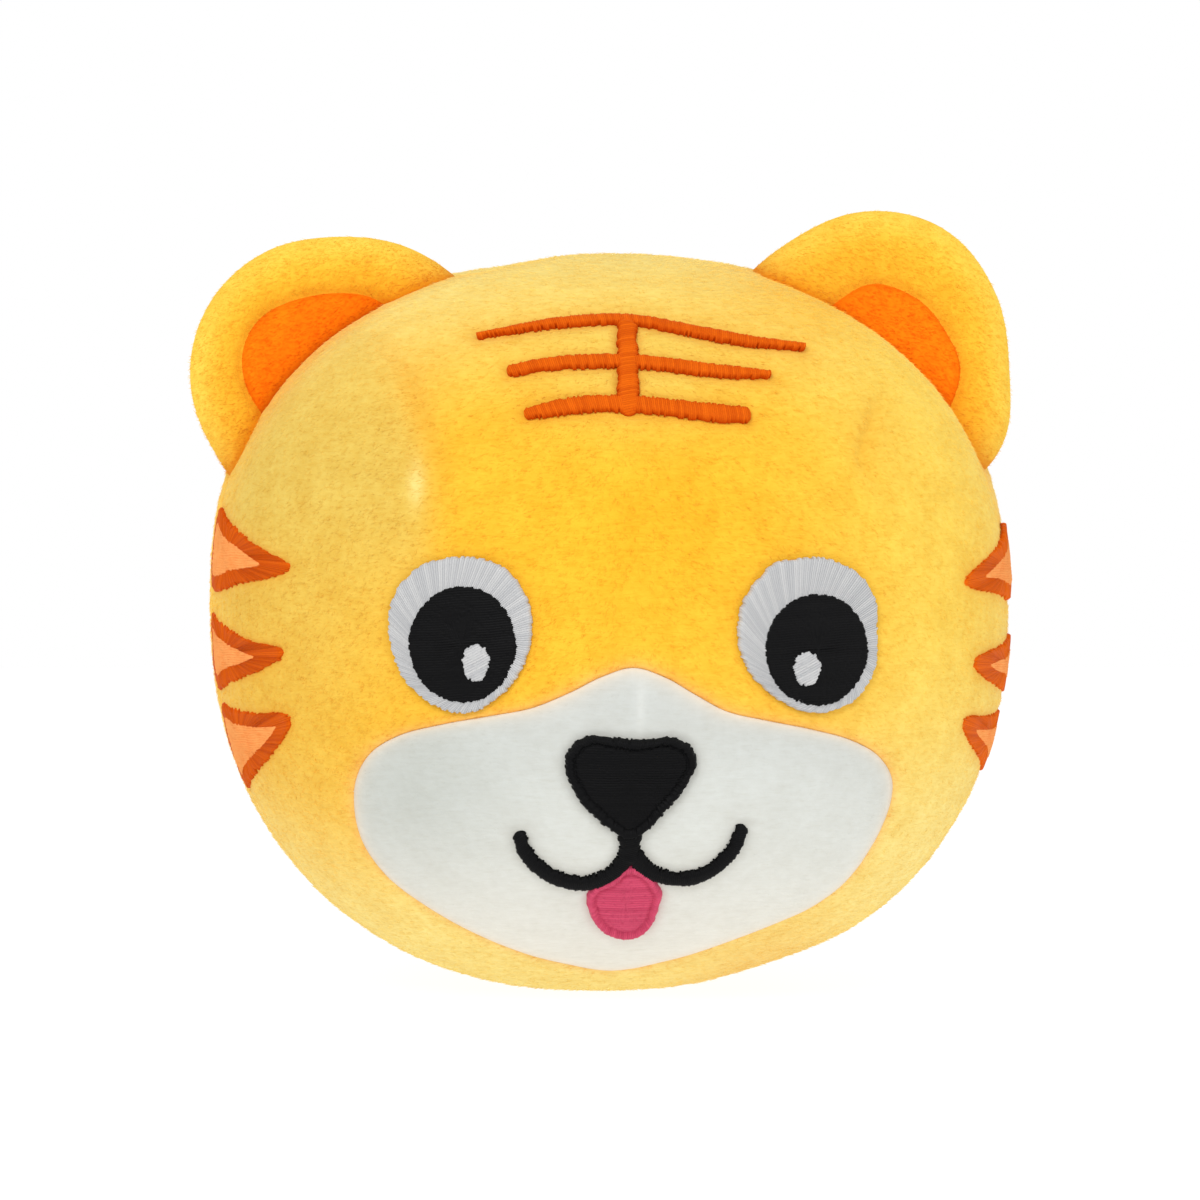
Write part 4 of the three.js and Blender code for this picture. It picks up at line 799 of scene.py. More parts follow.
def dress_face(points):
    """Pile of the yellow face: pressed round the stitching and creased at the darts. Its colour carries
    painted
    light and shade: it is deeper between the eyes, lemon on the right cheek, and olive on the left temple,
    where the nap leans away from the light."""
    press, pull, close = press_depth(points)
    crease, near = dart_crease(points)
    hollow = dents(points)
    x, height = points[:, 0], points[:, 2] + POCKET[2]
    lift = pile(points) * (1 - 0.8 * press) - CLOTH_DROP - 0.4 * pull - 0.7 * crease - hollow
    dart_x = -30.2 - 0.011 * np.maximum(height - 75, 0) ** 2
    temple = bell(height, 80, 24) / (1 + np.exp((x - dart_x) / 1.3))
    tuft = bell(x, -32.2, 1.1) * bell(height, 78.4, 3)
    from_seam = np.clip((SIDE_SEAM_Y - points[:, 1]) / 16, 0, 1)
    # Painted light and shade over the cloth's colour, one zone a line: lighter on the right side, deeper
    # amber between the eyes, darker on the left cheek, olive on the left temple, lemon low on the right
    # cheek, paler on the forehead's middle, deeper by the right ear's root, paler on the tuft by the left
    # dart, and deeper gold round the stitching, along the darts and in the dents
    colour = tinted(
        cloth_dye(points),
        ("#FDDC5E", bell(x, 46, 20) * 0.8 * from_seam),
        ("#FBC22E", bell(x, 2, 24) * bell(height, 72, 16) * 0.8),
        ("#EEC04C", bell(x, -52, 14) * bell(height, 50, 22) * 0.8 * from_seam),
        ("#E7CA66", temple * 0.85 * from_seam),
        ("#FFF0A8", bell(x, 50, 26) * bell(height, 14, 26) * 0.75 * from_seam),
        ("#EFE07C", bell(x, 0, 15) * bell(height, 95, 8) * 0.5),
        ("#FDC43A", bell(x, 30, 14) * bell(height, 108, 8) * 0.7),
        ("#FBEA94", tuft * 0.9),
        ("#EDA62A", 0.5 * close),
        ("#E8A024", 0.45 * near),
        ("#F2A828", 0.25 * hollow),
    )
    return lift, colour, 1 - press


def dress_muzzle(points):
    """Pile of the white muzzle: fine and close, pressed round the nose, mouth and tongue, with a short
    upright crease over the nose. Its colour is greyer at the top, with painted shade on the left side and
    round the stitching, a painted highlight along the crease, and painted light that makes it lighter and
    creamier towards the chin."""
    press, pull, close = press_depth(points)
    x, height = points[:, 0], points[:, 2] + POCKET[2]
    crease = bell(x, 0.2, 0.75) * bell(height, 46, 4.5)
    lift = pile(points, 0.3) * (1 - 0.8 * press) - 0.35 * pull - 0.25 * crease
    # Colour: greyer at the top, painted shade on the left side, painted light towards the chin, a painted
    # highlight along the crease and painted shade round the stitching
    colour = dyed(
        len(points), "#DCDFDA",
        ("#CDD0CC", bell(height, 46, 11) * 0.9),
        ("#C6CAC4", bell(x, -33, 15) * bell(height, 33, 14) * 0.9),
        ("#EFECE1", bell(height, 4, 16) * 0.9),
        ("#E8EAE6", 0.35 * crease),
        ("#CFC9BC", 0.3 * close),
    )
    return lift, colour, 1 - press


def dress_back(points):
    """Pile of the back: plain, with no stitching on it."""
    # Its colour carries the same painted light as the face's cloth: lemon on the crown, underneath and
    # towards the sides
    return pile(points) - CLOTH_DROP - dents(points), cloth_dye(points), np.ones(len(points))


FRONT_INSET, BACK_INSET = 2.2, 2.4  # the cloth's thickness with its pile
OPENING_HALF, OPENING_TOP, OPENING_BOTTOM = 4.6, 60.4, -48.2  # mm and degrees, of the opening for the zip
OPENING_RADIUS = 57  # at which the opening has its width


def face_cover(quick):
    """The yellow face runs from the muzzle's outline out to the side seam, as one ring of cloth; its points
    follow the outline evenly, and the seam at the same turn round the face."""
    count, rings = (420, 100) if quick else (720, 176)
    outline = MUZZLE + outward(MUZZLE) * MUZZLE_GAP
    turns = np.unwrap(np.arctan2(*(outline - MUZZLE_MIDDLE).T[::-1]))
    run = np.arange(len(outline)) / len(outline)
    step = 0.5 * run + 0.5 * (turns - turns[0]) / (2 * math.pi)
    at = np.linspace(0, 1, count, endpoint=False)
    step, run = np.append(step, step[0] + 1), np.append(run, 1)
    turns = np.append(turns, turns[0] + 2 * math.pi)
    places = np.interp(at, step, run)
    spots = np.stack([np.interp(places, run, np.append(across, across[0])) for across in outline.T], 1)
    turns = np.interp(at, step, turns)
    far = seam_loop(turns, SIDE_SEAM_Y - SEAM_GAP)
    # The colour after the seams' depths is painted shade in the seams' valleys
    sewn_cloth(
        "face_cover", facing(spots), far, rings, FRONT_INSET, (0.25, 0.8), "#FFC27A", dress_face,
        "yellow_plush", ["face_panel"], 37000, 1.0, 5,
    )


def muzzle_cover(quick):
    """The white muzzle: rings from its middle out to its outline."""
    count, rings = (300, 34) if quick else (560, 60)
    outline = evenly(MUZZLE - outward(MUZZLE) * MUZZLE_GAP, count)
    # The colour after the seams' depths is painted shade in the seams' valleys
    sewn_cloth(
        "muzzle_cover", facing(MUZZLE_MIDDLE[None])[0], facing(outline), rings, FRONT_INSET, (0, 0.25),
        "#FBE3C4", dress_muzzle, "white_plush", ["muzzle_panel"], 5000, 0.3, 6,
    )


def back_loop(side, half, top, bottom, y, count):
    """The outline of half of the back: up the side seam's far side and down the middle of the back,
    stepping aside by half for the zip between its top and bottom angles."""
    turns = np.linspace(math.pi / 2, 3 * math.pi / 2, 240)
    rim = seam_loop(turns, y)
    rim[:, 0] = side * np.maximum(np.abs(rim[:, 0]), SEAM_GAP / MEAN_RADIUS)
    over = math.degrees(math.asin(-y / MEAN_RADIUS))
    angles = np.linspace(-90 - over, 90 + over, 480)[1:-1]
    open_share = 1 / (1 + np.exp(-(angles - bottom) / 0.6)) / (1 + np.exp((angles - top) / 0.6))
    aside = SEAM_GAP + (half - SEAM_GAP) * open_share
    a = np.radians(angles)
    middle = unit(np.stack([side * aside / OPENING_RADIUS, np.cos(a), np.sin(a)], 1))
    return evenly(np.concatenate([rim, middle]), count)


def back_cover(side, name, quick):
    """One half of the back: rings from the middle of the cheek's rear out to its seams."""
    count, rings = (300, 60) if quick else (460, 96)
    far = unit(back_loop(side, OPENING_HALF, OPENING_TOP, OPENING_BOTTOM, SIDE_SEAM_Y + SEAM_GAP, count))
    near = unit(np.array([side * 0.8, 0.62, 0.03]))
    # The colour after the seams' depths is painted shade in the seams' valleys
    sewn_cloth(
        f"back_cover_{name}", near, far, rings, BACK_INSET, (0, 0.8), "#F5B440", dress_back, "yellow_plush",
        [f"back_panel_{name}"], 21000, 1.0, 7,
    )


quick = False
face_cover(quick)
muzzle_cover(quick)
for name, side in SIDES.items():
    back_cover(side, name, quick)


# Ears
EAR_Y = -4.0
EAR_THICK = 5.6
EAR_LIP = 0.6
EAR_CUP = 3.0
EAR_POWER = 3.2  # of the curve of its thickness from the middle to the rim
# How deep a foot stands under the head's cloth
EAR_FOOT, SHEET_FOOT, PATCH_FOOT, PATCH_UNDER_FOOT = 1.2, 2.0, 1.15, 1.6


def seated(points, depth):
    """Points that would lie inside the head are brought out to just under its cloth, with a small fillet,
    so the ear's foot follows the head."""
    distance = np.linalg.norm(points, axis=1)
    way = points / distance[:, None]
    foot = head_radius(way) - dents(way * MEAN_RADIUS) - depth
    return way * (foot + 0.4 * np.logaddexp(0, (distance - foot) / 0.4))[:, None]


def reach_at(reaches, turn):
    """The radius at a turn, smooth between the given radii."""
    place = turn / math.radians(30)
    start = np.floor(place).astype(int)
    t = place - start
    a, b, c, d = (np.take(reaches, (start + step) % 12) for step in (-1, 0, 1, 2))
    return b + t / 2 * (c - a + t * (2 * a - 5 * b + 4 * c - d + t * (3 * (b - c) + d - a)))


def patch_gap(ear, x, z):
    """Distance from the patch's edge, negative inside it."""
    east, up = x - ear["patch"][0], z - ear["patch"][1] + POCKET[2]
    return np.hypot(east, up) - reach_at(ear["patch_reaches"], np.arctan2(up, east))


def ear_front_y(ear, x, z):
    """The front of an ear: a shallow cup with a puffed edge, its half thickness falling to a lip at the
    rim, and a dip where the patch is sewn in."""
    east, up = x - ear["x"], z - ear["height"] + POCKET[2]
    share = np.minimum(np.hypot(east, up) / reach_at(ear["reaches"], np.arctan2(up, east)), 1)
    from_patch = patch_gap(ear, x, z)
    fall = np.sqrt(1 - share**EAR_POWER)
    puff = EAR_LIP / 2 + EAR_THICK * fall + 0.9 * bell(share, 0.8, 0.16)
    sunk = 1.3 / (1 + np.exp(from_patch / 1.1)) + 0.5 * bell(from_patch, 0, 0.9)
    heel = ear["heel"] * np.exp(-np.maximum(np.hypot(x, z) - MEAN_RADIUS, 0) / 7)
    return EAR_Y - EAR_CUP * share**2 - puff + sunk - heel * fall, from_patch


def disc(middle, reach, share, turn):
    """Places on a disc: at shares of the reach round a middle, which is given to the side and over the
    floor."""
    return middle[0] + reach * share * np.cos(turn), middle[1] - POCKET[2] + reach * share * np.sin(turn)


def ear_nap(points):
    """Where a point lies in the ear's pile, which is brushed upwards."""
    return points[:, [1, 0, 2]] * [1, 1, 0.6]


def above_cloth(points):
    """How far points stand above the head's cloth."""
    return np.linalg.norm(points, axis=1) - head_radius(unit(points)) + dents(points)


def ear_half(name, front, quick):
    """Half of an ear's cushion: a disc of rings on the outside, closed by the plain sheet that the other
    half also lies on."""
    ear = EARS[name]
    count, rings = (150, 30) if quick else (280, 62)
    share = np.sin(np.linspace(0, math.pi / 2, rings))[1:, None]
    turn = np.linspace(0, 2 * math.pi, count, endpoint=False)
    reach = reach_at(ear["reaches"], turn) - CLOTH_DROP
    root = ear["x"], ear["height"]
    x, z = disc(root, reach, share, turn)
    share = np.broadcast_to(share, x.shape)
    if front:
        y, from_patch = ear_front_y(ear, x, z)
    else:
        y = EAR_Y - EAR_CUP * share**2 + EAR_LIP / 2 + EAR_THICK * np.sqrt(1 - share**EAR_POWER)
        from_patch = np.full(x.shape, 9.0)
    outer = np.stack([x, y, z], -1).reshape(-1, 3)
    away = -1 if front else 1
    grain = outer * [1, 0.5, 1]
    tufts = 0.12 * lumps(grain, 7, 11) + 0.09 * lumps(grain, 2.4, 12) + 0.06 * lumps(grain, 1.2, 13)
    middle = np.array([ear["x"], EAR_Y, ear["height"] - POCKET[2]])
    out = unit((outer - middle) * [0.35, 1.4, 0.35])
    outer = outer + out * (tufts * np.minimum(1, (1 - share.ravel()) * 30 + 0.3))[:, None]
    inner_share = np.linspace(1, 0, 8)[:-1, None]
    reach = reach - 0.5 * (inner_share == 1)
    inner_x, inner_z = disc(root, reach, inner_share, turn)
    inner_y = np.broadcast_to(EAR_Y - EAR_CUP * inner_share**2 + away * SEAM_GAP, inner_x.shape)
    inner = np.stack([inner_x, inner_y, inner_z], -1).reshape(-1, 3)
    first = ear_front_y(ear, middle[:1], middle[2:])[0][0] if front else EAR_Y + EAR_LIP / 2 + EAR_THICK
    poles = np.array([[middle[0], first, middle[2]], [middle[0], EAR_Y + away * SEAM_GAP, middle[2]]])
    outer = seated(outer, EAR_FOOT)
    ends = seated(poles[:1], EAR_FOOT), seated(poles[1:], SHEET_FOOT)
    points = np.concatenate([outer, seated(inner, SHEET_FOOT), *ends])
    # Masks and colours below: painted shade by the patch's seam, deeper orange at the foot and a dark painted
    # shadow line where the ear meets the head, and a lemon painted sheen at the rim
    close = np.exp(-np.abs(from_patch.ravel()) / 1.2)
    clear = above_cloth(outer)
    foot = np.exp(-np.maximum(clear, 0) / 2.5)
    root_dye = np.exp(-np.maximum(clear, 0) / 0.8)
    rest = np.zeros(len(inner) + 2)
    colour = dyed(
        len(points), "#FEC638",
        ("#FFDE5C", np.append(bell(share.ravel(), 1.0, 0.16) * 0.8, rest)),
        ("#F4A01C", np.append(0.35 * close, rest)),
        ("#F0920C", np.append(0.7 * foot, rest)),
        ("#D8700A", np.append(0.6 * root_dye, rest)),
    )
    fields = {"nap": ear_nap(points), "dye": colour}
    kept = "front" if front else "back"
    replaced = [f"ear_{name}_{kept}"] + ([f"ear_{name}_filling"] if front else [])
    stem = f"ear_{name}_{kept}_cushion"
    faces = shell_faces(rings - 1 + len(inner_share), count)
    piece = make_piece(stem, points, faces, "yellow_plush", replaced=replaced, fields=fields)
    free = (clear > 0.1) * (from_patch.ravel() > 0.3)
    grid = outer.reshape(-1, count, 3)
    pile_fibres(f"{stem}_pile", grid, colour, free, "yellow_plush", 3800, 0.9, 8, middle)


def ear_patch(name, quick):
    """The orange patch: a slightly domed disc sewn into the ear's hollow."""
    ear = EARS[name]
    count, rings = (120, 16) if quick else (280, 46)
    share = np.linspace(0, 1, rings)[1:, None]
    turn = np.linspace(0, 2 * math.pi, count, endpoint=False)
    wobble = 1 + 0.006 * np.sin(5 * turn + 1) + 0.004 * np.sin(9 * turn)
    reach = (reach_at(ear["patch_reaches"], turn) + 0.2) * wobble
    x, z = disc(ear["patch"], reach, share, turn)
    base, _ = ear_front_y(ear, x, z)
    dome = 0.45 * np.sqrt(1 - np.broadcast_to(share, x.shape) ** 8) + 0.05
    flat = np.stack([x, base - dome, z], -1).reshape(-1, 3)
    grain = flat * [1, 0.5, 1]
    flat[:, 1] -= 0.05 * lumps(grain, 2.2, 21) + 0.03 * lumps(grain, 1.1, 22)
    under = np.stack([x, base + 0.5, z], -1)[-1]
    at_x, at_z = ear["patch"][0], ear["patch"][1] - POCKET[2]
    deepest = ear_front_y(ear, np.array([at_x]), np.array([at_z]))[0][0]
    poles = np.array([[at_x, deepest - 0.5, at_z], [at_x, deepest + 0.5, at_z]])
    upper = seated(np.concatenate([flat, poles[:1]]), PATCH_FOOT)
    lower = seated(np.concatenate([under, poles[1:]]), PATCH_UNDER_FOOT)
    points = np.concatenate([upper[:-1], lower[:-1], upper[-1:], lower[-1:]])
    clear = np.maximum(above_cloth(points), 0)
    edge = np.broadcast_to(bell(share, 1, 0.06), x.shape).ravel()
    rim = np.concatenate([edge, np.ones(count), np.zeros(2)])
    # Painted shade: deeper and darker orange where the patch comes close to the head's cloth. It is also a
    # deeper orange at its edge and underneath
    colour = dyed(
        len(points), "#FF9012",
        ("#F07408", 0.6 * rim),
        ("#F97604", 0.7 * np.exp(-clear / 3)),
        ("#B84E04", 0.7 * np.exp(-clear / 0.6)),
    )
    fields = {"nap": ear_nap(points), "dye": colour}
    stem, faces = f"ear_{name}_patch", shell_faces(rings, count)
    piece = make_piece(stem, points, faces, "orange_plush", replaced=[f"ear_{name}_inner"], fields=fields)
    top = points[: len(flat)]
    free = above_cloth(top) > 0.1
    middle = np.array([at_x, EAR_Y, at_z])
    pile_fibres(f"{stem}_pile", top.reshape(-1, count, 3), colour, free, "orange_plush", 1500, 0.9, 9, middle)


for name in EARS:
    ear_half(name, True, quick)
    ear_half(name, False, quick)
    ear_patch(name, quick)


# Stitching
def laid_threads(at, seed, pitch=THREAD):
    """Ridges of threads side by side: height from 0 to 1 across each, and its own tone."""
    row = np.floor(at / pitch)
    return np.abs(np.sin(math.pi * at / pitch)) ** 0.7, scatter(row, seed)


def inset_loop(outline, middle, width):
    """The loop that lies width inside an outline, found on the lines from its middle."""
    low, high = np.zeros(len(outline)), np.ones(len(outline))
    for _ in range(14):
        share = (low + high) / 2
        inside = edge_distance(middle + (outline - middle) * share[:, None], outline, 60) < -width
        low, high = np.where(inside, share, low), np.where(inside, high, share)
    return middle + (outline - middle) * low[:, None]


STITCH_LENGTH = 4.2  # of one stitch of level threads
EDGE_ROUNDING = 0.55  # over this far from an edge the stitches round down
RIDGE, BAND_RIDGE = 0.15, 0.13  # how far threads stand out of a patch and of a band
BAND_THREAD = 0.3  # a band's threads lie closer
BAND_SLANT = 0.2  # how far they run on from one edge to the other, in half widths
BAND_OVER, BAND_UNDER = 15, 3  # points across a band, and under it
BAND_SEAT = 0.9  # depth of its underside


def stitched_patch(
    name, outline, chart, slot, height, seed, replaced=(), hole=None, rim=None, border=0.0, lay="level",
    tilt=0.0, seat=0.9, gap=0.12, dye=None, fray=0.36, shade=0.0,
):
    """A patch of embroidery, closed underneath at the depth of its seat.

    Rings run from its middle, or from the edge of its hole, to its outline. A rim gives the middle that its
    hole is drawn round, and its width. The height rounds over at the edges. The threads lie level, side by
    side, or point outwards from the middle, and a border of threads across the edge stands a little higher.
    Each thread ends a little short or long, by the fray, so the outline is jagged."""
    whole = hole is None and rim is None
    size = np.linalg.norm(np.diff(np.concatenate([outline, outline[:1]]), axis=0), axis=1).sum()
    step = gap
    count = int(size / step)
    outline = evenly(outline + outward(outline) * 0.15, count)
    turn = np.arange(count) / count * round(size / THREAD)
    jag = (scatter(np.floor(turn), seed + 1) - 0.5) * fray
    if rim:
        middle, width = rim
        near = inset_loop(outline, middle, width)
    elif whole:
        middle = outline.mean(0)
        near = np.broadcast_to(middle, outline.shape)
    else:
        middle = hole.mean(0)
        start = evenly(hole, count)
        near = np.roll(start, -((start - outline[0]) ** 2).sum(1).argmin(), 0)
    outline = outline + unit(outline - middle) * jag[:, None]
    reach = np.linalg.norm(outline - near, axis=1)
    rings = max(12, int(reach.max() / (0.45 if lay == "round" else step)))
    way = np.linspace(0, 1, rings)
    share = np.sin(way * math.pi / 2)[1:] if whole else 0.5 - 0.5 * np.cos(way * math.pi)
    spots = near + (outline - near) * share[:, None, None]
    edge = (1 - share)[:, None] * reach
    nearest = edge if whole else np.minimum(edge, share[:, None] * reach)
    round_off = np.sqrt(np.clip(1 - (1 - np.clip(nearest / EDGE_ROUNDING, 0, 1)) ** 2, 0, 1))
    radial, radial_tone = laid_threads(np.broadcast_to(turn * THREAD, edge.shape), seed)
    flat = spots.reshape(-1, 2)
    across = (flat[:, 1] * math.cos(tilt) - flat[:, 0] * math.sin(tilt)).reshape(edge.shape)
    along = (flat[:, 0] * math.cos(tilt) + flat[:, 1] * math.sin(tilt)).reshape(edge.shape)
    level, level_tone = laid_threads(across + 0.05 * np.sin(along * 0.9 + seed), seed + 2)
    bite = along / STITCH_LENGTH + scatter(np.floor(across / THREAD), seed + 3)
    level = level * (1 - 0.6 * bell(bite, np.round(bite), 0.05))
    groove_shade = 0
    if border:
        on_border = 1 / (1 + np.exp((edge - border) / 0.08))
        ridge = radial * on_border + level * (1 - on_border)
        tone = np.where(on_border > 0.5, radial_tone, level_tone)
        swell = 0.35 * np.sin(np.clip(edge / border, 0, 1) * math.pi) * on_border
        swell = swell - 0.18 * bell(edge, border, 0.28)
        # Painted shade just inside the border
        groove_shade = 0.2 * bell(edge, border, 0.3)
    else:
        ridge, tone = (radial, radial_tone) if lay == "round" else (level, level_tone)
        swell = 0.12 * lumps(np.concatenate([flat, flat[:, :1] * 0], 1), 3, seed).reshape(edge.shape)
    top = (height + swell + RIDGE * (ridge - 0.6)) * round_off - 0.45 * (1 - round_off)
    ways = chart(flat)
    feet = [chart(spots[-1])] if whole else [chart(spots[-1]), chart(spots[0])]
    points = [ways * (head_radius(ways) + top.ravel())[:, None]]
    points += [foot * (head_radius(foot) - seat)[:, None] for foot in feet]
    # Tone: a random tone for each thread, lighter on its ridge and darker between threads and just inside a
    # border, painted light and shade; shade lowers it all as painted shade, and a negative shade raises it as
    # painted light
    tones = [(0.22 - shade + 0.4 * tone + 0.4 * ridge - groove_shade).ravel(), np.zeros(count * len(feet))]
    if whole:
        mid = chart(middle[None])
        points += [mid * (head_radius(mid) + lift)[:, None] for lift in (top[0].mean(), -seat)]
        tones.append(np.array([0.5, 0.0]))
    points = np.concatenate(points)
    if dye:
        fields = {"nap": nap_of(points), "dye": dyed(len(points), dye)}
    else:
        fields = {"tone": np.clip(np.concatenate(tones), 0, 1)}
    faces = shell_faces(len(share) + len(feet), count, whole)
    make_piece(name, points, faces, slot, replaced=replaced, fields=fields)


def stitched_band(name, knots, halves, slot, height, seed, replaced=()):
    """A line of satin stitches: threads lie side by side across it, a little slanting, over a rounded
    section that closes at both ends, and each thread ends a little short or long."""
    curve = spline(knots, False)
    length = np.linalg.norm(np.diff(curve, axis=0), axis=1).sum()
    count = int(length / (0.06))
    line = evenly(curve, count, False)
    way = unit(np.gradient(line, axis=0))
    side = np.stack([-way[:, 1], way[:, 0]], 1)
    run = np.linspace(0, length, count)
    half = np.interp(run / length, np.linspace(0, 1, len(halves)), halves)
    end = np.clip(np.minimum(run, length - run) / (0.8 * half), 0, 1)
    half = half * np.sqrt(np.clip(1 - (1 - end) ** 2, 0.02, 1))
    over = np.sin(np.linspace(-1, 1, BAND_OVER) * math.pi / 2)
    at = run[:, None] + BAND_SLANT * half[:, None] * over
    ridge, tone = laid_threads(at, seed, BAND_THREAD)
    jag = (scatter(np.floor(at / BAND_THREAD) * 2 + (over > 0), seed + 4) - 0.5) * 0.42
    wide = half[:, None] * over + np.sign(over) * jag * np.abs(over) ** 3 * end[:, None]
    crown = np.sqrt(np.clip(1 - over**4, 0, 1)) * end[:, None] ** 0.5
    top = (height + BAND_RIDGE * (ridge - 0.6)) * crown - 0.4 * (1 - crown)
    low_wide = half[:, None] * np.linspace(0.8, -0.8, BAND_UNDER)
    sheets = []
    for aside, lift in ((wide, top), (low_wide, np.full(low_wide.shape, -BAND_SEAT))):
        ways = facing((line[:, None] + side[:, None] * aside[..., None]).reshape(-1, 2))
        sheets.append((ways * (head_radius(ways) + lift.ravel())[:, None]).reshape(*aside.shape, 3))
    points = np.concatenate(sheets, 1)
    # Tone: a random tone for each thread, lighter on its ridge and darker between threads and towards the
    # band's rounded edges, painted light and shade
    tone_with_painted_shade = (0.25 + 0.4 * tone + 0.4 * ridge) * (1 - 0.7 * np.abs(over) ** 5)
    tones = np.concatenate([tone_with_painted_shade, np.zeros((count, BAND_UNDER))], 1)
    points = np.concatenate([points.reshape(-1, 3), points[[0, -1]].mean(1)])
    fields = {"tone": np.clip(np.append(tones, [0, 0]), 0, 1)}
    faces = shell_faces(count, BAND_OVER + BAND_UNDER)
    make_piece(name, points, faces, slot, replaced=replaced, fields=fields)


BLACK, WHITE, ORANGE = "black_thread", "white_thread", "stripe_thread"
PUPIL_LAP = 0.8  # how far the ring round an eye runs in under the black
for name, eye in EYES.items():
    x, height, *halves = eye["pupil"]
    hole = egg(x, height, *(half - PUPIL_LAP for half in halves), 400)
    stitched_patch(
        f"eye_{name}_ring", loop(eye["white"], 600), facing, WHITE, 0.35, 31, [f"eye_{name}_white"],
        hole=hole, lay="round",
    )
    stitched_patch(
        f"eye_{name}_black", egg(*eye["pupil"], 500), facing, BLACK, 0.6, 37, [f"eye_{name}_pupil"],
        tilt=0.06, fray=0.26,
    )
    stitched_patch(
        f"eye_{name}_spark", egg(*eye["glint"], 200), facing, WHITE, 0.85, 41, [f"eye_{name}_glint"],
        tilt=0.5, seat=0.3, gap=0.09,
    )

stitched_patch("nose_stitching", NOSE, facing, BLACK, 0.45, 43, ["nose"], border=1.5)
stitched_patch("tongue_stitching", TONGUE, facing, "pink_thread", 0.22, 47, ["tongue"], border=1.3, fray=0.16)
for stem, lines, slot, lifts, first_seed, replaced in (
    ("mouth", MOUTH, BLACK, (0.6, 0.68), 51, "mouth_line"),
    ("forehead_stripe", FOREHEAD, ORANGE, (0.5, 0.62), 61, "forehead_stripes"),
):
    for place, (part, (knots, halves)) in enumerate(lines.items()):
        lift = lifts[part == "post"]
        stands_for = [] if place else [replaced]
        stitched_band(f"{stem}_{part}", knots, halves, slot, lift, first_seed + place, stands_for)

for name, side in SIDES.items():
    for seed, level in enumerate(CHEEK_STRIPES[name], 71):
        outline = cheek_outline(level, name, 500)
        middle = outline.mean(0) + [side * 2.5, 0]
        stem = f"cheek_stripe_{name}_{level}"
        # shade makes the left stripes' threads darker, painted shade, and the right ones lighter, painted
        # light
        stitched_patch(
            f"{stem}_edge", outline, bearing, ORANGE, 0.02, seed, [stem],
            rim=(middle, 2.1), lay="round", gap=0.125, fray=0.7, shade=0.15 if side < 0 else -0.12,
        )
        stitched_patch(
            f"{stem}_cloth", inset_loop(outline, middle, 1.2), bearing, "orange_plush", 0.14, seed,
            gap=0.25, dye="#FFAC62",
        )


# Inside of the cover
FILL_INSET = 2.5  # the cloth's thickness and a gap
POCKET_WALL = 44.05
LINING_OUTER, LINING_INNER = 43.75, 42.85
SLOT_HALF, SLOT_TOP, SLOT_BOTTOM = 9.6, 63, -51  # mm and degrees, of the slot behind the zip
FRONT = np.array([0.0, -1.0, 0.0])


def fluff(ways):
    """How far the padding reaches along unit directions: to just under the cloth, in soft lumps 6 mm
    across."""
    return head_radius(ways, FILL_INSET) + 0.25 * lumps(ways * 58, 6, 81) - 0.2 - dents(ways * MEAN_RADIUS)


def globe(radius):
    """The same reach along every direction."""
    return lambda ways: np.full(len(ways), radius)


def inner_layer(name, near, far, rings, back_rings, over, under, slot, replaced):
    """A closed layer between two loops of directions, or from one direction to a loop, whose outer and
    inner sides lie at given distances along each direction."""
    pole = np.ndim(near) == 1
    ways, _ = slerp(near, far, np.linspace(0, 1, rings)[int(pole):])
    back, _ = slerp(near, far, np.linspace(1, 0, back_rings)[: back_rings - int(pole)])
    sheets = [(ways.reshape(-1, 3), over), (back.reshape(-1, 3), under)]
    if pole:
        sheets += [(near[None], over), (near[None], under)]
    points = np.concatenate([way * reach(way)[:, None] for way, reach in sheets])
    faces = shell_faces(len(ways) + len(back), len(far), pole)
    fields = {"nap": nap_of(points), "dye": dyed(len(points), "#F4F4F0")}
    return make_piece(name, points, faces, slot, replaced=[replaced], fields=fields)


def slot_loop(turns, radius):
    """The long slot behind the zip, seen from the back: its edge at each turn round the middle of the
    back."""
    side = math.asin(SLOT_HALF / radius)
    tall = np.where(np.sin(turns) > 0, np.radians(SLOT_TOP), np.radians(-SLOT_BOTTOM))
    reach = (np.abs(np.cos(turns) / side) ** 8 + np.abs(np.sin(turns) / tall) ** 8) ** (-1 / 8)
    return np.stack([np.cos(turns) * np.sin(reach), np.cos(reach), np.sin(turns) * np.sin(reach)], 1)


around = np.linspace(0, 2 * math.pi, 160, endpoint=False)
front_rim, rear_rim = (seam_loop(around, SIDE_SEAM_Y + gap) for gap in (-0.3, 0.3))
for name, near, far, rings, back_rings in (
    ("front", FRONT, front_rim, 60, 30), ("rear", rear_rim, slot_loop(around, OPENING_RADIUS), 40, 24),
):
    piece = inner_layer(
        f"padding_{name}", near, far, rings, back_rings, fluff, globe(POCKET_WALL), "stuffing",
        f"wadding_{name}",
    )
inner_layer(
    "pocket_cloth", FRONT, slot_loop(around, 43), 70, 50, globe(LINING_OUTER), globe(LINING_INNER),
    "lining_cloth", "pocket_lining",
)


# Zip
ZIP_TOP, ZIP_BOTTOM = 57.5, -45.5
TAPE_TOP, TAPE_BOTTOM = 61.5, -49.5
TAPE_INNER, TAPE_OUTER = 54.9, 55.5
TAPE_NEAR, TAPE_FAR = 1.1, 8.4  # mm from the middle of the back
RIB_PITCH = 0.9
TOOTH_STEP = 2.0  # degrees, one tooth every 2 mm
TOOTH_RADIUS = 56.35


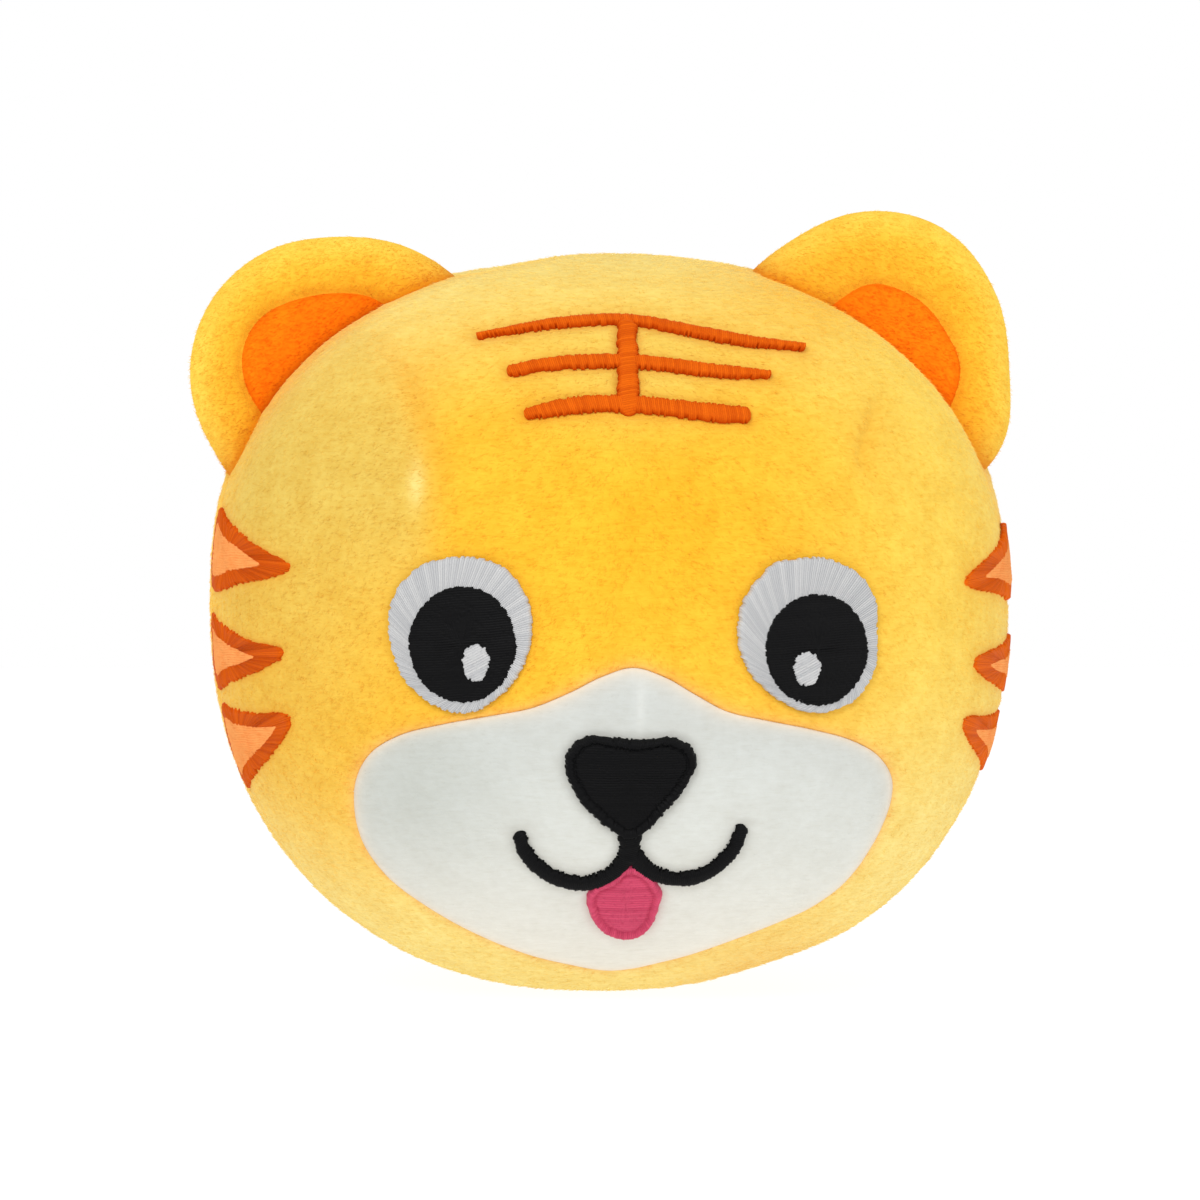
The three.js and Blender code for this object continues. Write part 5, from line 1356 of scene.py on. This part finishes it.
def zip_tape(side, name):
    """A strip of tape bent on an arc about the pocket's middle, with a cord sewn along its inner edge and
    fine ribs along it."""
    rows, over, under = 320, 30, 12
    angles = np.radians(np.linspace(TAPE_BOTTOM, TAPE_TOP, rows))[:, None]
    across = np.append(np.linspace(TAPE_NEAR, TAPE_FAR, over), np.linspace(TAPE_FAR, TAPE_NEAR, under))
    ribs = 0.05 * np.sin(across * 2 * math.pi / RIB_PITCH) * (across > 2.4)
    outer = TAPE_OUTER - 0.05 + ribs + 0.45 * bell(across, 1.7, 0.5)
    radius = np.where(np.arange(over + under) < over, outer, TAPE_INNER)
    x = np.broadcast_to(side * across, (rows, over + under))
    points = np.stack([x, radius * np.cos(angles), radius * np.sin(angles)], -1)
    points = np.concatenate([points.reshape(-1, 3), points[[0, -1]].mean(1)])
    faces = shell_faces(rows, over + under)
    make_piece(f"zip_tape_{name}_cloth", points, faces, "zip_cloth", replaced=[f"zip_tape_{name}"])


def zip_teeth(side, name):
    """One row of zip teeth: each is a rounded block that grips the tape's cord and ends in a narrower nib,
    meeting the other row's."""
    across = np.array([-2.5, -2.3, -1.2, -0.2, 0.3, 0.8, 0.95])[:, None]
    half = np.array([0.25, 0.62, 0.62, 0.45, 0.62, 0.5, 0.2])[:, None]
    tall = np.array([0.35, 0.8, 0.8, 0.62, 0.75, 0.6, 0.25])[:, None]
    turn = np.linspace(0, 2 * math.pi, 12, endpoint=False)
    wide, high = (np.sign(v) * np.abs(v) ** 0.5 for v in (np.cos(turn), np.sin(turn)))
    x, y, z = np.broadcast_arrays(across, half * wide, tall * high)
    block = np.concatenate([np.stack([x, y, z], -1).reshape(-1, 3), [[-2.55, 0, 0], [1.0, 0, 0]]])
    start = ZIP_BOTTOM + 1.0 + (TOOTH_STEP / 2 if side > 0 else 0)
    angles = np.radians(np.arange(start, ZIP_TOP - 0.8, TOOTH_STEP))[:, None]
    radius = TOOTH_RADIUS + block[:, 2]
    x = np.broadcast_to(-side * block[:, 0], (len(angles), len(block)))
    y = np.cos(angles) * radius - np.sin(angles) * block[:, 1]
    z = np.sin(angles) * radius + np.cos(angles) * block[:, 1]
    points = np.stack([x, y, z], -1).reshape(-1, 3)
    first = (np.arange(len(angles)) * len(block))[:, None, None]
    faces = [(kind + first).reshape(-1, kind.shape[1]) for kind in shell_faces(len(across), len(turn))]
    make_piece(f"zip_teeth_{name}", points, faces, "zip_metal")


for name, side in SIDES.items():
    zip_tape(side, name)
    zip_teeth(side, name)


# Finishes of the solid model's own parts
KEPT = {
    "zip_metal": ["zip_slider", "zip_pull", "zip_top_stop", "zip_bottom_stop"],
    "white_plastic": ["core_shell_front", "core_shell_rear", "battery_door"],
    "gear_plastic": ["motor_pinion", "compound_gear", "output_gear", "gearbox_frame", "gearbox_cover"],
    "dark_plastic": ["switch_knob", "speaker"],
    "steel": [
        "drive_shaft", "battery_door_screw", "shell_screw_1", "shell_screw_2", "shell_screw_3",
        "contact_left", "contact_right", "motor",
    ],
    "zinc_casting": ["eccentric_weight"],
    "cell_wrap": ["cell_1", "cell_2", "cell_3"],
    "board": ["circuit_board"],
}
for slot, names in KEPT.items():
    for name in names:
        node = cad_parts[name]
        node.data.materials.clear()
        node.data.materials.append(FINISHES[slot])


# Floor, light and camera
def seen_directly(tree):
    """1 for rays from the camera, by way of shiny and clear parts too, and 0 for the light on the toy."""
    path = add(tree, "ShaderNodeLightPath", out=None)
    seen = path.outputs["Is Camera Ray"]
    for kind in ("Is Glossy Ray", "Is Transmission Ray"):
        seen = add(tree, "ShaderNodeMath", {0: seen, 1: path.outputs[kind]}, operation="MAXIMUM")
    return seen


def stage_finish():
    """White paper, matt, that also glows: its glow lights the toy from below, it shades under the toy, and
    the camera and shiny parts see it close to white.
    """
    finish = bpy.data.materials.new("glowing white paper")
    finish.use_nodes = True
    tree = finish.node_tree
    tree.nodes.clear()
    share = add(tree, "ShaderNodeMapRange", {0: seen_directly(tree), 1: 0.0, 2: 1.0, 3: 0.7, 4: 0.8})
    matt = add(tree, "ShaderNodeBsdfDiffuse", {"Color": (0.9, 0.9, 0.9, 1)})
    bright = add(tree, "ShaderNodeEmission", {"Color": (1, 1, 1, 1), "Strength": 1.15})
    both = add(tree, "ShaderNodeMixShader", {0: share, 1: matt, 2: bright})
    add(tree, "ShaderNodeOutputMaterial", {0: both}, out=None)
    return finish


def studio():
    """A white floor, a white surround, a broad soft lamp over the camera's left shoulder and a weaker one
    at its right."""
    floor = bpy.data.meshes.new("studio_floor")
    floor.from_pydata([(-3, -3, 0), (3, -3, 0), (3, 3, 0), (-3, 3, 0)], [], [(0, 1, 2, 3)])
    floor.materials.append(stage_finish())
    ground = bpy.data.objects.new("studio_floor", floor)
    bpy.context.scene.collection.objects.link(ground)
    world = bpy.data.worlds.new("white surround")
    world.use_nodes = True
    bpy.context.scene.world = world
    tree = world.node_tree
    tree.nodes.clear()
    strength = add(tree, "ShaderNodeMapRange", {0: seen_directly(tree), 1: 0.0, 2: 1.0, 3: 0.62, 4: 1.0})
    light = add(tree, "ShaderNodeBackground", {"Color": (1, 1, 1, 1), "Strength": strength})
    add(tree, "ShaderNodeOutputWorld", {0: light}, out=None)
    for name, size, power, place in (
        ("key", 0.9, 9.0, (-0.55, -1.05, 0.95)),
        ("fill", 1.2, 4.0, (0.9, -0.9, 0.35)),
    ):
        lamp = bpy.data.lights.new(name, "AREA")
        lamp.size = size
        lamp.energy = power
        holder = bpy.data.objects.new(name, lamp)
        bpy.context.scene.collection.objects.link(holder)
        holder.location = place
        aim_at(holder, (0, 0, 0.06))


def aim_at(holder, target):
    """Turns a lamp or camera, which looks along its own -Z, towards a point, with its X axis level."""
    way = unit(np.array(target, float) - np.array(holder.location))
    holder.rotation_euler = (math.acos(-way[2]), 0, math.atan2(-way[0], way[1]))


CAMERA_AZIMUTH = -4.2
CAMERA_DISTANCE = 0.65
VIEW_WIDTH = 0.1907  # at the middle of the head
AIM_ASIDE, AIM_UP = -0.0015, 0.0035  # of the view's middle from the pocket's
SENSOR_WIDTH = 36


def camera():
    """The photograph's view: from a little to the left, level, with a long lens."""
    eye = bpy.data.cameras.new("camera")
    holder = bpy.data.objects.new("camera", eye)
    bpy.context.scene.collection.objects.link(holder)
    turn = math.radians(CAMERA_AZIMUTH)
    eye.sensor_width = SENSOR_WIDTH
    eye.lens = SENSOR_WIDTH * CAMERA_DISTANCE / VIEW_WIDTH
    middle = POCKET * 0.001 + np.array([AIM_ASIDE * math.cos(turn), AIM_ASIDE * math.sin(turn), AIM_UP])
    holder.location = middle + CAMERA_DISTANCE * np.array([math.sin(turn), -math.cos(turn), 0.0])
    aim_at(holder, middle)
    bpy.context.scene.camera = holder


studio()
camera()
bpy.context.scene.view_settings.view_transform = "Standard"
